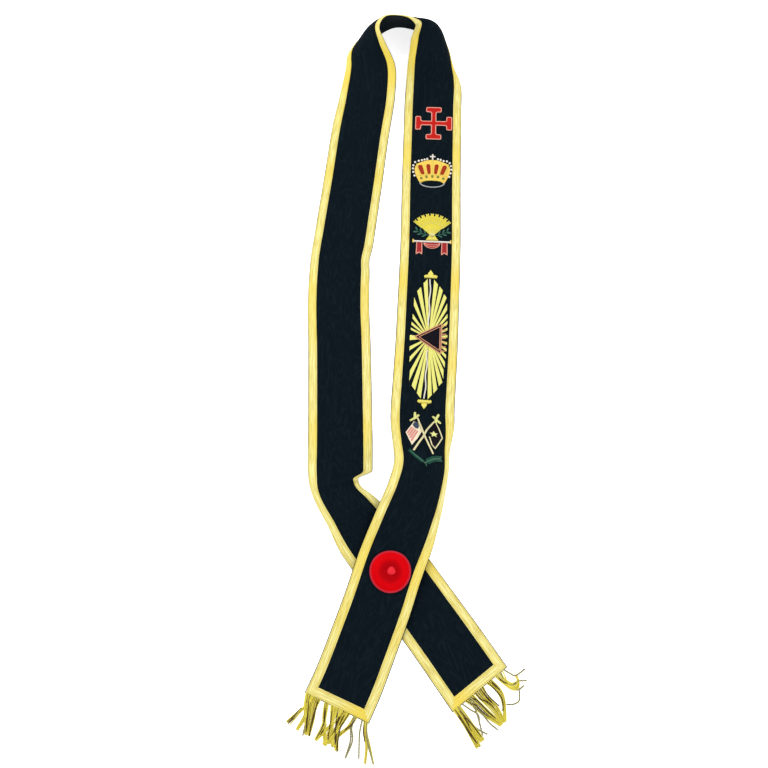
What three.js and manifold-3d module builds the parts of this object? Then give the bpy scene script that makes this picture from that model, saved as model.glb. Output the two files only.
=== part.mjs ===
// Regalia sash: a long black watered-silk ribbon edged with gold lace, laid flat with its two tails crossed,
// its far end standing up on edge where the ribbon turns round. Millimetres, Z up, resting on Z = 0.
import * as THREE from 'three';
import { TessellateModifier } from 'three/addons/modifiers/TessellateModifier.js';
import { mergeVertices } from 'three/addons/utils/BufferGeometryUtils.js';
import Module from 'manifold-3d';

const solids = await Module();
solids.setup();

// Driving sizes
const RIBBON_WIDTH = 90;
const RIBBON_THICK = 1.6;
const EDGE_SHOW = 1;
const LACE_WIDTH = 12;
const LACE_THICK = 1.2;
const GAP = 0.3;
const HALF = RIBBON_WIDTH / 2;
const FACE_REST = RIBBON_THICK + GAP;
const LACE_OUT = HALF - EDGE_SHOW;
const LACE_IN = LACE_OUT - LACE_WIDTH;

// Middle of the whole sash in the plan numbers of the route table
const PLAN_MIDDLE = new THREE.Vector2(29.75, 352.35);

// The way the ribbon lies, from the front tail over the crossing, round the far end and back:
// x, y   middle of the ribbon in plan
// faces  bearing in degrees that its inner edge points to
// tip    degrees that its inner edge is tipped up
// curl   degrees from its middle to its edge, bowed towards the face
// lift   height of its lowest edge
const ROUTE = [
  { x: -60, y: -132, faces: 156, tip: 0, curl: 0, lift: 0 },
  { x: -46.5, y: -103, faces: 157, tip: 0, curl: 0, lift: 0 },
  { x: -27, y: -54, faces: 158.5, tip: 0, curl: 0, lift: 3 },
  { x: -9.5, y: -8, faces: 160, tip: 0, curl: 2, lift: 8 },
  { x: 10.5, y: 50, faces: 161, tip: 0, curl: 3, lift: 11 },
  { x: 32, y: 100, faces: 162, tip: 11, curl: 29, lift: 9 },
  { x: 49.5, y: 142, faces: 166, tip: 22, curl: 43, lift: 4 },
  { x: 57, y: 172, faces: 171, tip: 24, curl: 46, lift: 1 },
  { x: 55.5, y: 205, faces: 176, tip: 16, curl: 42, lift: 0 },
  { x: 54, y: 229, faces: 177, tip: 4, curl: 24, lift: 0 },
  { x: 54, y: 249, faces: 176.5, tip: 0, curl: 0, lift: 0 },
  { x: 57, y: 295, faces: 176, tip: 0, curl: 0, lift: 0 },
  { x: 61, y: 350, faces: 176.5, tip: 0, curl: 0, lift: 0 },
  { x: 65, y: 422, faces: 177, tip: 0, curl: 0, lift: 0 },
  { x: 69, y: 500, faces: 177.5, tip: 0, curl: 0, lift: 0 },
  { x: 72.5, y: 620, faces: 178, tip: 0, curl: 0, lift: 0 },
  { x: 76, y: 715, faces: 178, tip: 0, curl: 0, lift: 0 },
  { x: 77.5, y: 756, faces: 178.5, tip: 0, curl: 0, lift: 0 },
  { x: 79, y: 780, faces: 180, tip: 3, curl: 18, lift: 0 },
  { x: 80.5, y: 812, faces: 182, tip: 16, curl: 52, lift: 0 },
  { x: 84, y: 845, faces: 189, tip: 34, curl: 66, lift: 0 },
  { x: 80.5, y: 869, faces: 214, tip: 50, curl: 58, lift: 0 },
  { x: 49, y: 879, faces: 257, tip: 58, curl: 28, lift: 0 },
  { x: 18, y: 879.5, faces: 272, tip: 60, curl: 12, lift: 0 },
  { x: -7, y: 874, faces: 285, tip: 65, curl: 27, lift: 0 },
  { x: -26.5, y: 859, faces: 308, tip: 57, curl: 33, lift: 0 },
  { x: -30.5, y: 839.5, faces: 330, tip: 42, curl: 24, lift: 0 },
  { x: -24.5, y: 808, faces: 346, tip: 24, curl: 20, lift: 0 },
  { x: -27, y: 765, faces: 352, tip: 10, curl: 14, lift: 0 },
  { x: -36.5, y: 705, faces: 352, tip: 0, curl: 6, lift: 0 },
  { x: -47, y: 620, faces: 352, tip: 0, curl: 4, lift: 0 },
  { x: -58, y: 535, faces: 352.5, tip: 0, curl: 10, lift: 0 },
  { x: -65, y: 475, faces: 355, tip: 0, curl: 14, lift: 0 },
  { x: -66.5, y: 422, faces: 359, tip: 0, curl: 12, lift: 0 },
  { x: -64, y: 350, faces: 361, tip: 0, curl: 6, lift: 0 },
  { x: -62, y: 270, faces: 361, tip: 0, curl: 4, lift: 0 },
  { x: -60.5, y: 200, faces: 362, tip: 0, curl: 8, lift: 0 },
  { x: -60, y: 170, faces: 363, tip: 0, curl: 18, lift: 0 },
  { x: -57, y: 145, faces: 375, tip: 7, curl: 36, lift: 0 },
  { x: -42, y: 119, faces: 391, tip: 11, curl: 30, lift: 0 },
  { x: -20, y: 83.5, faces: 394, tip: 3, curl: 12, lift: 0 },
  { x: 12, y: 42, faces: 395, tip: 0, curl: 8, lift: 0 },
  { x: 46, y: -4, faces: 395.5, tip: 0, curl: 4, lift: 0 },
  { x: 82, y: -53, faces: 396, tip: 0, curl: 2, lift: 0 },
  { x: 122.5, y: -110, faces: 397, tip: 0, curl: 0, lift: 0 },
];
const COLUMNS = ['x', 'y', 'faces', 'tip', 'curl', 'lift'];

// Folds across the left strand: the deep tuck where it turns towards the crossing and a shallow crease
// higher up. rise and inner_rise are its height at the outer edge and what the inner edge adds, before and
// after its reach each way along the ribbon, and pull how far it draws the inner edge in.
const FOLDS = [
  { x: -59.5, y: 152, rise: 3.5, inner_rise: 7, before: 14, after: 5, pull: 20, pull_before: 9, pull_after: 60 },
  { x: -63.5, y: 487, rise: 1.5, inner_rise: 3, before: 30, after: 10, pull: 2, pull_before: 14, pull_after: 14 },
];

const radians = (degrees) => THREE.MathUtils.degToRad(degrees);

// Chord length along the table, the parameter of the route
const chord = ROUTE.reduce((sums, row, i) => {
  const last = ROUTE[i - 1] ?? row;
  return [...sums, (sums[i - 1] ?? 0) + Math.hypot(row.x - last.x, row.y - last.y)];
}, []);

function slopeOf(column, i) {
  const last = ROUTE.length - 1;
  const rate = (a) => (ROUTE[a + 1][column] - ROUTE[a][column]) / (chord[a + 1] - chord[a]);
  if (i === 0) return rate(0);
  if (i === last) return rate(last - 1);
  const before = chord[i] - chord[i - 1];
  const after = chord[i + 1] - chord[i];
  return (rate(i - 1) * after + rate(i) * before) / (before + after);
}

// One smooth row of the table at any chord length
function rowAt(t) {
  const place = THREE.MathUtils.clamp(t, 0, chord[chord.length - 1]);
  const i = Math.min(chord.findLastIndex((start) => start <= place), ROUTE.length - 2);
  const span = chord[i + 1] - chord[i];
  const s = (place - chord[i]) / span;
  const row = {};
  for (const column of COLUMNS) {
    row[column] = (2 * s ** 3 - 3 * s ** 2 + 1) * ROUTE[i][column]
      + (s ** 3 - 2 * s ** 2 + s) * span * slopeOf(column, i)
      + (3 * s ** 2 - 2 * s ** 3) * ROUTE[i + 1][column]
      + (s ** 3 - s ** 2) * span * slopeOf(column, i + 1);
  }
  for (const column of ['tip', 'curl', 'lift']) {
    row[column] = Math.max(row[column], 0);
  }
  return row;
}

// Offset from the middle line to a place across the ribbon (v, plus towards the inner edge) and above
// its underside (h), on the arc that its cross-section makes
function acrossArc(row, v, h) {
  const bend = Math.max(radians(row.curl), 1e-5) / HALF;
  const [facing, tip] = [radians(row.faces), radians(row.tip)];
  const inward = new THREE.Vector3(Math.cos(facing), Math.sin(facing), 0);
  const across = inward.clone().multiplyScalar(Math.cos(tip)).setZ(Math.sin(tip));
  const face = inward.clone().multiplyScalar(-Math.sin(tip)).setZ(Math.cos(tip));
  return across.multiplyScalar(Math.sin(bend * v) * (1 / bend + h))
    .addScaledVector(face, (Math.cos(bend * v) - 1) / bend + h * Math.cos(bend * v));
}

function pointOf(row, v, h) {
  const corners = [-HALF, HALF].flatMap((edge) => [0, RIBBON_THICK].map((up) => acrossArc(row, edge, up).z));
  const height = row.lift - Math.min(...corners);
  return acrossArc(row, v, h).add(new THREE.Vector3(row.x - PLAN_MIDDLE.x, row.y - PLAN_MIDDLE.y, height));
}

// Length along the middle line against chord length
const SAMPLE = 1;
const samples = [{ t: 0, u: 0, at: pointOf(rowAt(0), 0, 0) }];
for (let t = SAMPLE; t <= chord[chord.length - 1]; t += SAMPLE) {
  const last = samples[samples.length - 1];
  const at = pointOf(rowAt(t), 0, 0);
  samples.push({ t, u: last.u + at.distanceTo(last.at), at });
}
const LENGTH = samples[samples.length - 1].u;

function chordOf(u) {
  const i = THREE.MathUtils.clamp(samples.findIndex((s) => s.u >= u), 1, samples.length - 1);
  const [a, b] = [samples[i - 1], samples[i]];
  return a.t + (b.t - a.t) * (u - a.u) / (b.u - a.u);
}

// The length along the ribbon whose middle is nearest a plan point of the route table
function lengthAt(x, y) {
  const away = (s) => Math.hypot(s.at.x - x + PLAN_MIDDLE.x, s.at.y - y + PLAN_MIDDLE.y);
  return samples.reduce((best, s) => (away(s) < away(best) ? s : best)).u;
}
const FOLD_PLACES = FOLDS.map((fold) => ({ ...fold, u: lengthAt(fold.x, fold.y) }));
const TUCK_U = FOLD_PLACES[0].u;

const hump = (distance, before, after) => Math.exp(-((distance / (distance < 0 ? before : after)) ** 2));

// A point of the laid ribbon: u along it, v across it, h above its underside
function laid(u, v, h) {
  const row = rowAt(chordOf(u));
  const inner = (v + HALF) / RIBBON_WIDTH;
  let [pull, rise] = [0, 0];
  for (const fold of FOLD_PLACES) {
    const away = u - fold.u;
    pull += fold.pull * inner ** 2 * hump(away, fold.pull_before, fold.pull_after);
    rise += (fold.rise + fold.inner_rise * inner) * hump(away, fold.before, fold.after);
  }
  const facing = radians(row.faces);
  return pointOf(row, v, h).add(new THREE.Vector3(-Math.cos(facing) * pull, -Math.sin(facing) * pull, rise));
}

// Places along the ribbon: close together where it turns, far apart where it runs straight
const STATION = { longest: 18, shortest: 5, turn: 7.8, tuck: 3.5, tuck_reach: 22 };
// Ends of the flat stretch that carries the figures, which no step runs past
const FLAT_ENDS = [lengthAt(54, 249), lengthAt(77.5, 756)];

function stationList() {
  const turning = (u) => {
    const [a, b] = [rowAt(chordOf(u)), rowAt(chordOf(u + STATION.longest))];
    return ['faces', 'tip', 'curl'].reduce((sum, column) => sum + Math.abs(b[column] - a[column]), 0);
  };
  const list = [0];
  while (list[list.length - 1] < LENGTH - STATION.longest) {
    const u = list[list.length - 1];
    const step = THREE.MathUtils.clamp(
      STATION.longest * STATION.turn / turning(u), STATION.shortest, STATION.longest);
    const near = Math.abs(u - TUCK_U) < STATION.tuck_reach;
    const next = u + (near ? STATION.tuck : step);
    list.push(FLAT_ENDS.find((end) => end > u && end < next) ?? next);
  }
  return [...list, LENGTH];
}
const STATIONS = stationList();

function material(name, color, roughness, metalness = 0) {
  return new THREE.MeshStandardMaterial({ name, color, roughness, metalness });
}
const MOIRE = material('moire_black', 0x0e171d, 0.55);
const LACE = material('gold_lace', 0xdcc35a, 0.5, 0.35);
const BULLION = material('gold_bullion', 0xc9a53c, 0.45, 0.4);
const ROSETTE_RED = material('rosette_red', 0xd0081a, 0.6);
const BUTTON_RED = material('button_red', 0xe8344a, 0.55);
const CROSS_RED = material('thread_red', 0xd81a10, 0.65);
const CROWN_GOLD = material('thread_gold', 0xf0c244, 0.5, 0.2);
const SWAG_RED = material('thread_crimson', 0xb4222a, 0.65);
const SHEAF_YELLOW = material('thread_yellow', 0xeee030, 0.6);
const GLORY_YELLOW = material('thread_pale_gold', 0xdedb70, 0.55, 0.1);
const TRIANGLE_BLACK = material('thread_black', 0x1a1c24, 0.65);
const FLAG_CREAM = material('thread_cream', 0xe8dcae, 0.6);
const SPRIG_GREEN = material('thread_green', 0x145041, 0.65);

function node(name, geometry, surface) {
  geometry.computeVertexNormals();
  const mesh = new THREE.Mesh(geometry, surface);
  mesh.name = name;
  return mesh;
}

// Moves every point of a geometry by a function of that point
function reshape(geometry, move) {
  const places = geometry.attributes.position;
  const point = new THREE.Vector3();
  for (let i = 0; i < places.count; i += 1) {
    move(point.fromBufferAttribute(places, i));
    places.setXYZ(i, point.x, point.y, point.z);
  }
  return geometry;
}

// Splits the squares of the underside on the same diagonal as those of the face, so that layers of cloth
// stay parallel where they twist
function matchUnderside(box) {
  const underside = box.groups[5];
  const index = box.index.array;
  for (let k = underside.start; k < underside.start + underside.count; k += 6) {
    const [a, b, d, , c] = index.slice(k, k + 5);
    index.set([a, b, c, a, c, d], k);
  }
  return box;
}

// A strip of cloth: a box whose x steps are places across, from the inner side to the outer so that its
// face is up, and whose y steps are places along the ribbon. mitre moves the end of the strip inwards by
// more or less, place by place across.
function strip(along, across, low, high, mitre = () => 0) {
  const [columns, rows] = [across.length - 1, along.length - 1];
  const box = matchUnderside(new THREE.BoxGeometry(columns, rows, 1, columns, rows, 1));
  return reshape(box, (point) => {
    const column = Math.round(point.x + columns / 2);
    const row = Math.round(point.y + rows / 2);
    const end = row === 0 ? 1 : row === rows ? -1 : 0;
    const v = across[column];
    point.copy(laid(along[row] + end * mitre(v), v, point.z > 0 ? high : low));
  });
}

function moireRibbon() {
  const across = [HALF, LACE_IN, LACE_IN / 2, 0, -LACE_IN / 2, -LACE_IN, -HALF];
  return node('moire_ribbon', strip(STATIONS, across, 0, RIBBON_THICK), MOIRE);
}

// Lace along one long edge, mitred into the lace of the two ends
function edgeLace(name, side) {
  const corner = LACE_WIDTH + 3 * EDGE_SHOW;
  const inside = STATIONS.filter((u) => u > corner && u < LENGTH - corner);
  const along = [EDGE_SHOW, ...inside, LENGTH - EDGE_SHOW];
  const across = side > 0 ? [LACE_OUT, LACE_IN] : [-LACE_IN, -LACE_OUT];
  const mitre = (v) => LACE_OUT - Math.abs(v) + GAP;
  return node(name, strip(along, across, FACE_REST, FACE_REST + LACE_THICK, mitre), LACE);
}

// Lace across one end, cut to the same mitre
function endLace(name, outer, inward) {
  const along = inward > 0 ? [outer, outer + LACE_WIDTH] : [outer - LACE_WIDTH, outer];
  const box = new THREE.BoxGeometry(4, 1, 1, 4, 1, 1);
  const shaped = reshape(box, (point) => {
    const u = along[point.y > 0 ? 1 : 0];
    const reach = LACE_OUT - Math.abs(u - outer) - 2 * GAP;
    const h = point.z > 0 ? FACE_REST + LACE_THICK : FACE_REST;
    point.copy(laid(u, -point.x / 2 * reach, h));
  });
  return node(name, shaped, LACE);
}

// Locks of each fringe, charted from its left corner as the sash is looked at with the fringe nearest:
// the two edges of the lock along the end at its root, at two places on its way out and at its tip, and
// how far out the tip lies
const FRONT_LOCKS = [
  { root: [9, 13], waist: [7, 10], knee: [1, 5], tip: [-6, 0], reach: 40 },
  { root: [1, 5], waist: [5, 8], knee: [10, 13], tip: [8, 12], reach: 43 },
  { root: [12, 22], waist: [14, 21], knee: [18, 25], tip: [21, 28], reach: 42 },
  { root: [27, 31], waist: [32, 35], knee: [38, 41], tip: [47, 52], reach: 45 },
  { root: [36, 44], waist: [42, 46], knee: [47, 51], tip: [57, 62], reach: 42 },
  { root: [45, 48], waist: [46, 48], knee: [42, 46], tip: [35, 39], reach: 44 },
  { root: [50, 54], waist: [51, 54], knee: [56, 59], tip: [64, 67], reach: 44 },
  { root: [56, 63], waist: [54, 60], knee: [51, 56], tip: [46, 50], reach: 44 },
  { root: [69, 74], waist: [67, 71], knee: [60, 64], tip: [51, 54], reach: 41 },
  { root: [82, 85], waist: [88, 91], knee: [95, 99], tip: [103, 106], reach: 43 },
  { root: [85, 88], waist: [90, 93], knee: [99, 102], tip: [112, 115], reach: 39 },
];
const BACK_LOCKS = [
  { root: [2, 7], waist: [2, 7], knee: [0, 5], tip: [-3, 3], reach: 51 },
  { root: [7, 13], waist: [7, 13], knee: [5, 12], tip: [6, 13], reach: 46 },
  { root: [24, 28], waist: [23, 27], knee: [20, 23], tip: [14, 17], reach: 43 },
  { root: [20, 34], waist: [25, 36], knee: [29, 38], tip: [38, 43], reach: 48 },
  { root: [36, 51], waist: [37, 48], knee: [40, 50], tip: [42, 47], reach: 47 },
  { root: [56, 65], waist: [60, 67], knee: [57, 64], tip: [45, 49], reach: 48 },
  { root: [69, 80], waist: [73, 79], knee: [75, 82], tip: [80, 88], reach: 28 },
  { root: [83, 86], waist: [85, 88], knee: [88, 92], tip: [97, 100], reach: 27 },
];
const FRINGE = {
  head_out: 4, head_thick: 3, lock_thick: 3.2, steps: 4, inset: 2, side_share: 0.55, thinning: 0.3,
};
// The columns of a lock from its root to its tip, with their share of its reach
const LOCK_COLUMNS = { root: 0, waist: 0.28, knee: 0.58, tip: 1 };

function toManifold(geometry) {
  const bare = geometry.clone();
  bare.deleteAttribute('normal');
  bare.deleteAttribute('uv');
  const merged = mergeVertices(bare, 1e-4);
  return new solids.Manifold(new solids.Mesh({
    numProp: 3,
    vertProperties: new Float32Array(merged.attributes.position.array),
    triVerts: new Uint32Array(merged.index.array),
  }));
}

function fromManifold(solid) {
  const mesh = solid.getMesh();
  const geometry = new THREE.BufferGeometry();
  geometry.setAttribute('position', new THREE.BufferAttribute(new Float32Array(mesh.vertProperties), 3));
  geometry.setIndex(new THREE.BufferAttribute(new Uint32Array(mesh.triVerts), 1));
  return geometry;
}

function fuse(geometries) {
  return fromManifold(geometries.map(toManifold).reduce((sum, next) => sum.add(next)));
}

// Plan frame of one end of the ribbon: its left corner, the way along it and the way out of it
function endFrame(u, leftSide) {
  const left = laid(u, leftSide * HALF, 0).setZ(0);
  const right = laid(u, -leftSide * HALF, 0).setZ(0);
  const along = right.sub(left).normalize();
  return { left, along, out: new THREE.Vector3(along.y, -along.x, 0) };
}

// One lock: a flat tapering finger that falls from the head to the ground it lies on.
// Its plan is mirrored, because the left corner of an end lies on the right when looking out of it.
function lock(row) {
  const edge = (side) => new THREE.SplineCurve(Object.entries(LOCK_COLUMNS).map(([column, share]) =>
    new THREE.Vector2(row[column][side], THREE.MathUtils.lerp(FRINGE.inset, row.reach, share))));
  const [left, right] = [edge(0), edge(1)];
  const finger = new THREE.BoxGeometry(1, FRINGE.steps, 1, 2, FRINGE.steps, 1);
  return reshape(finger, (point) => {
    const s = 0.5 + point.y / FRINGE.steps;
    const at = left.getPoint(s).lerp(right.getPoint(s), 0.5 - point.x);
    const crown = point.x === 0 ? 1 : FRINGE.side_share;
    const high = FRINGE.lock_thick * crown * (1 - FRINGE.thinning * s);
    point.set(-at.x, at.y, point.z > 0 ? high : 0);
  });
}

function fringe(name, u, leftSide, locks) {
  const { left, along, out } = endFrame(u, leftSide);
  const head = new THREE.BoxGeometry(RIBBON_WIDTH - 2 * GAP, FRINGE.head_out - GAP, FRINGE.head_thick);
  head.translate(-HALF, (FRINGE.head_out + GAP) / 2, FRINGE.head_thick / 2);
  const place = new THREE.Matrix4().makeBasis(along.negate(), out, new THREE.Vector3(0, 0, 1));
  place.setPosition(left);
  return node(name, fuse([head, ...locks.map(lock)]).applyMatrix4(place), BULLION);
}

// Raised figures lie on the face of the ribbon round a place of the route table. They are drawn with
// x towards the outer edge and y up the strand; across is how far that way from the middle line.
const PLACES = {
  rosette: { x: 7, y: 36.1, across: 2.6 },
  cross: { x: 76, y: 719, across: 1.7 },
  crown: { x: 73, y: 633.5, across: 1.3 },
  sheaf: { x: 70, y: 534, across: 2 },
  glory: { x: 61.5, y: 363.5, across: 2.7 },
  flags: { x: 54, y: 213, across: 2.5 },
  sprig: { x: 56, y: 177, across: -4 },
};
const RELIEF = 0.8;
const LONGEST_EDGE = 14;

function onFace(geometry, place, base = FACE_REST) {
  const u = lengthAt(place.x, place.y);
  return reshape(geometry, (point) => point.copy(laid(u + point.y, -place.across - point.x, base + point.z)));
}

// The same for a figure on a bowed stretch, a little higher and with its long edges broken so that it
// follows the bow
function onBow(geometry, place) {
  const loose = geometry.index ? geometry.toNonIndexed() : geometry;
  return onFace(new TessellateModifier(LONGEST_EDGE, 8).modify(loose), place, FACE_REST + GAP);
}

function raised(points, thick = RELIEF) {
  const outline = new THREE.Shape(points.map(([x, y]) => new THREE.Vector2(x, y)));
  return new THREE.ExtrudeGeometry(outline, { depth: thick, bevelEnabled: false });
}

function bar(from, to, width) {
  const [a, b] = [new THREE.Vector2(...from), new THREE.Vector2(...to)];
  const side = b.clone().sub(a).rotateAround(new THREE.Vector2(), Math.PI / 2).setLength(width / 2);
  return raised([a.clone().add(side), b.clone().add(side), b.clone().sub(side), a.clone().sub(side)]
    .map((corner) => corner.toArray()));
}

const mirrored = (half) => [...half, ...half.map(([x, y]) => [-x, y]).reverse()];

// A closed profile from the axis out and back, turned round it
function turned(profile, sides) {
  const points = profile.map(([r, z]) => new THREE.Vector2(r, z));
  return new THREE.LatheGeometry(points, sides).rotateX(Math.PI / 2);
}

// Rosette where the tails cross: a disc of radial pleats, with a button at its middle
const ROSETTE = { radius: 27.3, pleats: 20, rim: 3.5, rise: 7, fold: 1, hub: 7, dish: 1.5 };
const BUTTON = { radius: 6, rise: 3, sides: 16 };
// Its underside lies a little higher than the other figures, clear of the bow of the ribbon
const ROSETTE_REST = FACE_REST + GAP;

function rosetteDisc() {
  const { radius, pleats, rim, rise, fold, hub, dish } = ROSETTE;
  const profile = [[0, 0], [radius, 0], [radius, rim], [radius * 0.85, rise * 0.85], [radius * 0.5, rise],
    [hub, rise - dish], [0, rise - dish]];
  const disc = reshape(turned(profile, 2 * pleats), (point) => {
    const r = Math.hypot(point.x, point.y);
    const turn = Math.round(Math.atan2(point.y, point.x) / Math.PI * pleats);
    const pleated = point.z > rim / 2 && r > hub + fold;
    point.z += pleated ? fold * (r / radius) * (turn % 2 ? -1 : 1) : 0;
  });
  return node('rosette_disc', onFace(disc, PLACES.rosette, ROSETTE_REST), ROSETTE_RED);
}

function rosetteButton() {
  const { radius, rise, sides } = BUTTON;
  const profile = [[0, 0], [radius, 0], [radius * 0.85, rise * 0.6], [radius * 0.45, rise * 0.92], [0, rise]];
  const base = ROSETTE_REST + ROSETTE.rise - ROSETTE.dish + GAP;
  return node('rosette_button', onFace(turned(profile, sides), PLACES.rosette, base), BUTTON_RED);
}

// Cross with a bar across the end of each arm
function crossMotif() {
  const [reach, stem, cap, cap_deep] = [28.5, 4.4, 12, 8.5];
  const arm = [[stem, stem], [stem, reach - cap_deep], [cap, reach - cap_deep], [cap, reach],
    [-cap, reach], [-cap, reach - cap_deep], [-stem, reach - cap_deep]];
  const turns = [0, 1, 2, 3].map((k) => k * Math.PI / 2);
  const outline = turns.flatMap((turn) => arm.map((corner) =>
    new THREE.Vector2(...corner).rotateAround(new THREE.Vector2(), turn).toArray()));
  return node('cross_motif', onFace(raised(outline), PLACES.cross), CROSS_RED);
}

// Crown: one flaring body, bowed at its foot, with a small cross on top
function crownMotif() {
  const half = [[4, 18.5], [10, 16.5], [15.5, 17.5], [21, 15], [27, 8.5], [28.5, 1.5], [26.5, -6], [23, -15.5],
    [16.5, -23], [8.5, -27.3]];
  const arms = [bar([0, 16], [0, 30], 3), bar([-4.6, 25.5], [4.6, 25.5], 3)];
  return node('crown_motif', onFace(fuse([raised(mirrored(half)), ...arms]), PLACES.crown), CROWN_GOLD);
}

// Sheaf of corn: a fan of ears drawn in to a waist, its straw spreading to the bar below
const SHEAF = { ears: 9, spread: 50, waist: -8, ear: 37, cleft: 31, foot: -17, foot_half: 10, waist_half: 4 };

function sheafMotif() {
  const { ears, spread, waist, ear, cleft, foot, foot_half, waist_half } = SHEAF;
  const tips = Array.from({ length: 2 * ears - 1 }, (_, i) => {
    const angle = radians(spread * (1 - i / (ears - 1)));
    const reach = i % 2 ? cleft : ear;
    return [reach * Math.sin(angle), waist + reach * Math.cos(angle)];
  });
  const outline = [[waist_half, waist], ...tips, [-waist_half, waist], [-foot_half, foot], [foot_half, foot]];
  return node('sheaf_motif', onFace(raised(outline), PLACES.sheaf), SHEAF_YELLOW);
}

// Bar below the sheaf with a hanging swag and a forked tail at each side
function swagMotif() {
  const [top, half, bow, inner, outer, tail] = [-17.8, 28, -29, 14, 24, -40];
  const parts = [
    bar([-half, top - 1.5], [half, top - 1.5], 3),
    raised(mirrored([[inner + 2, top - 2], [10, -25.5], [4, bow]])),
    ...[-1, 1].map((side) => raised([[side * inner, top - 2], [side * outer, top - 2],
      [side * (outer + 1), tail], [side * (inner + outer) / 2, tail + 4], [side * (inner + 1), tail]])),
  ];
  return node('swag_motif', onFace(fuse(parts), PLACES.sheaf), SWAG_RED);
}

// Glory: rays that spread from one middle to a long six-sided border, with a finial at top and foot
const GLORY = { half_wide: 27.4, shoulder: 62, top: 89, top_half: 6.5, rays: 6, ray_half: 4.6, cleft: 0.34 };

function gloryBorder() {
  const { half_wide, shoulder, top, top_half } = GLORY;
  const slant = Math.hypot(half_wide - top_half, top - shoulder);
  return {
    length: slant + shoulder,
    at: (d) => (d < slant
      ? [top_half + (half_wide - top_half) * d / slant, top + (shoulder - top) * d / slant]
      : [half_wide, shoulder - (d - slant)]),
  };
}

function gloryMotif() {
  const { rays, ray_half, cleft } = GLORY;
  const border = gloryBorder();
  const quarter = Array.from({ length: rays }, (_, k) => {
    const d = border.length * k / rays;
    const between = border.at(border.length * (k + 0.5) / rays).map((size) => size * cleft);
    return [border.at(Math.max(d - ray_half, 0)), border.at(d + ray_half), between];
  }).flat();
  const side = [...quarter, [GLORY.half_wide, ray_half], [GLORY.half_wide, -ray_half],
    ...quarter.map(([x, y]) => [x, -y]).reverse()];
  const finials = [-1, 1].flatMap((end) => [
    bar([-10, end * 95], [10, end * 95], 6),
    raised([[-4, end * 97], [0, end * 106], [4, end * 97]]),
    bar([0, end * 20], [0, end * 96], 3.6),
  ]);
  return node('glory_motif', onFace(fuse([raised(mirrored(side)), ...finials]), PLACES.glory), GLORY_YELLOW);
}

// Triangle over the middle of the glory, pointing to the inner edge
function triangleMotif() {
  const corners = [[-19.5, 1.5], [18.5, 22], [18.5, -22]];
  const base = FACE_REST + RELIEF + GAP;
  return node('triangle_motif', onFace(raised(corners), PLACES.glory, base), TRIANGLE_BLACK);
}

// Two crossed flags on poles, each pole tied with a bow
function flagsMotif() {
  const pole = 3.4;
  const parts = [
    bar([-10, 38], [-3.2, 6], pole),
    bar([-3.2, 8], [6, -25], pole),
    bar([14, 34], [-2, 6], pole),
    bar([-1, 8], [-20.5, -23.5], pole),
    raised([[-13, 31], [-20, 20], [-28, 8], [-26, -2], [-21.5, -14.5], [-12, -2], [-5.5, 9], [-9, 30]]),
    raised([[15.5, 30], [19.5, 17], [23.5, 2.5], [17, -7], [11, -16.5], [6, -10], [3.5, 3], [7, 17]]),
    raised([[-16, 49], [-5.5, 43], [-9.5, 37], [-9.5, 29], [-20, 30.5], [-15.5, 40]]),
    raised([[10, 41], [20.5, 46], [19, 38], [23, 28], [12.5, 28], [12, 37]]),
  ];
  return node('flags_motif', onBow(fuse(parts), PLACES.flags), FLAG_CREAM);
}

// Green sprig under the flags, bent to a wide V
function sprigMotif() {
  const outline = [[-1, -2.5], [7, 1], [14, 4.5], [27, 8.5], [27, 12], [13, 8.3], [-1, 2.3], [-13, 10.5],
    [-21, 17.5], [-23, 14], [-16, 7]];
  return node('sprig_motif', onBow(raised(outline), PLACES.sprig), SPRIG_GREEN);
}

const sash = new THREE.Group();
sash.name = 'masonic_sash';
sash.add(
  moireRibbon(),
  edgeLace('lace_outer', -1),
  edgeLace('lace_inner', 1),
  endLace('end_lace_front', EDGE_SHOW, 1),
  endLace('end_lace_back', LENGTH - EDGE_SHOW, -1),
  fringe('fringe_front', 0, 1, FRONT_LOCKS),
  fringe('fringe_back', LENGTH, -1, BACK_LOCKS),
  rosetteDisc(),
  rosetteButton(),
  crossMotif(),
  crownMotif(),
  sheafMotif(),
  swagMotif(),
  gloryMotif(),
  triangleMotif(),
  flagsMotif(),
  sprigMotif(),
);

export default sash;
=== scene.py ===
"""Looks of a regalia sash: black watered silk edged with gold lace, laid flat with its tails crossed.

Each class below makes one sub-assembly in millimetres of its own drawing (along the ribbon, across it, above
it), lays it on the ribbon's route, which the plain solids follow too, and dresses it.
"""
from __future__ import annotations

import logging
import math
import random
from dataclasses import dataclass, field
from enum import Enum
from typing import Callable, Sequence

import bmesh
import bpy
import numpy as np
from mathutils import Matrix, Vector


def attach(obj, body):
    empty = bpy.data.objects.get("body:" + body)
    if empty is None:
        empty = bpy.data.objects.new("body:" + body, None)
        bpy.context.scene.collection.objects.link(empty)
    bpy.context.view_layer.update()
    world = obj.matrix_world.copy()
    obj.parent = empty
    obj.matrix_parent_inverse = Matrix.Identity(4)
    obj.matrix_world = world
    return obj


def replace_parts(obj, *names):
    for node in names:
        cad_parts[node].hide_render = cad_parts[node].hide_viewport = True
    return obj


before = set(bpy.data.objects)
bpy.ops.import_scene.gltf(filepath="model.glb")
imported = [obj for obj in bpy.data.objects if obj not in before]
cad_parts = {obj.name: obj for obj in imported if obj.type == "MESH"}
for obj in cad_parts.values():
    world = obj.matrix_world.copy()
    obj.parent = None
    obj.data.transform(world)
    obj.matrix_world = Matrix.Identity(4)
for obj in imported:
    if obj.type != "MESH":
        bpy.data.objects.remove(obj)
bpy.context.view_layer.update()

LOG = logging.getLogger("sash")
MM = 0.001
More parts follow.
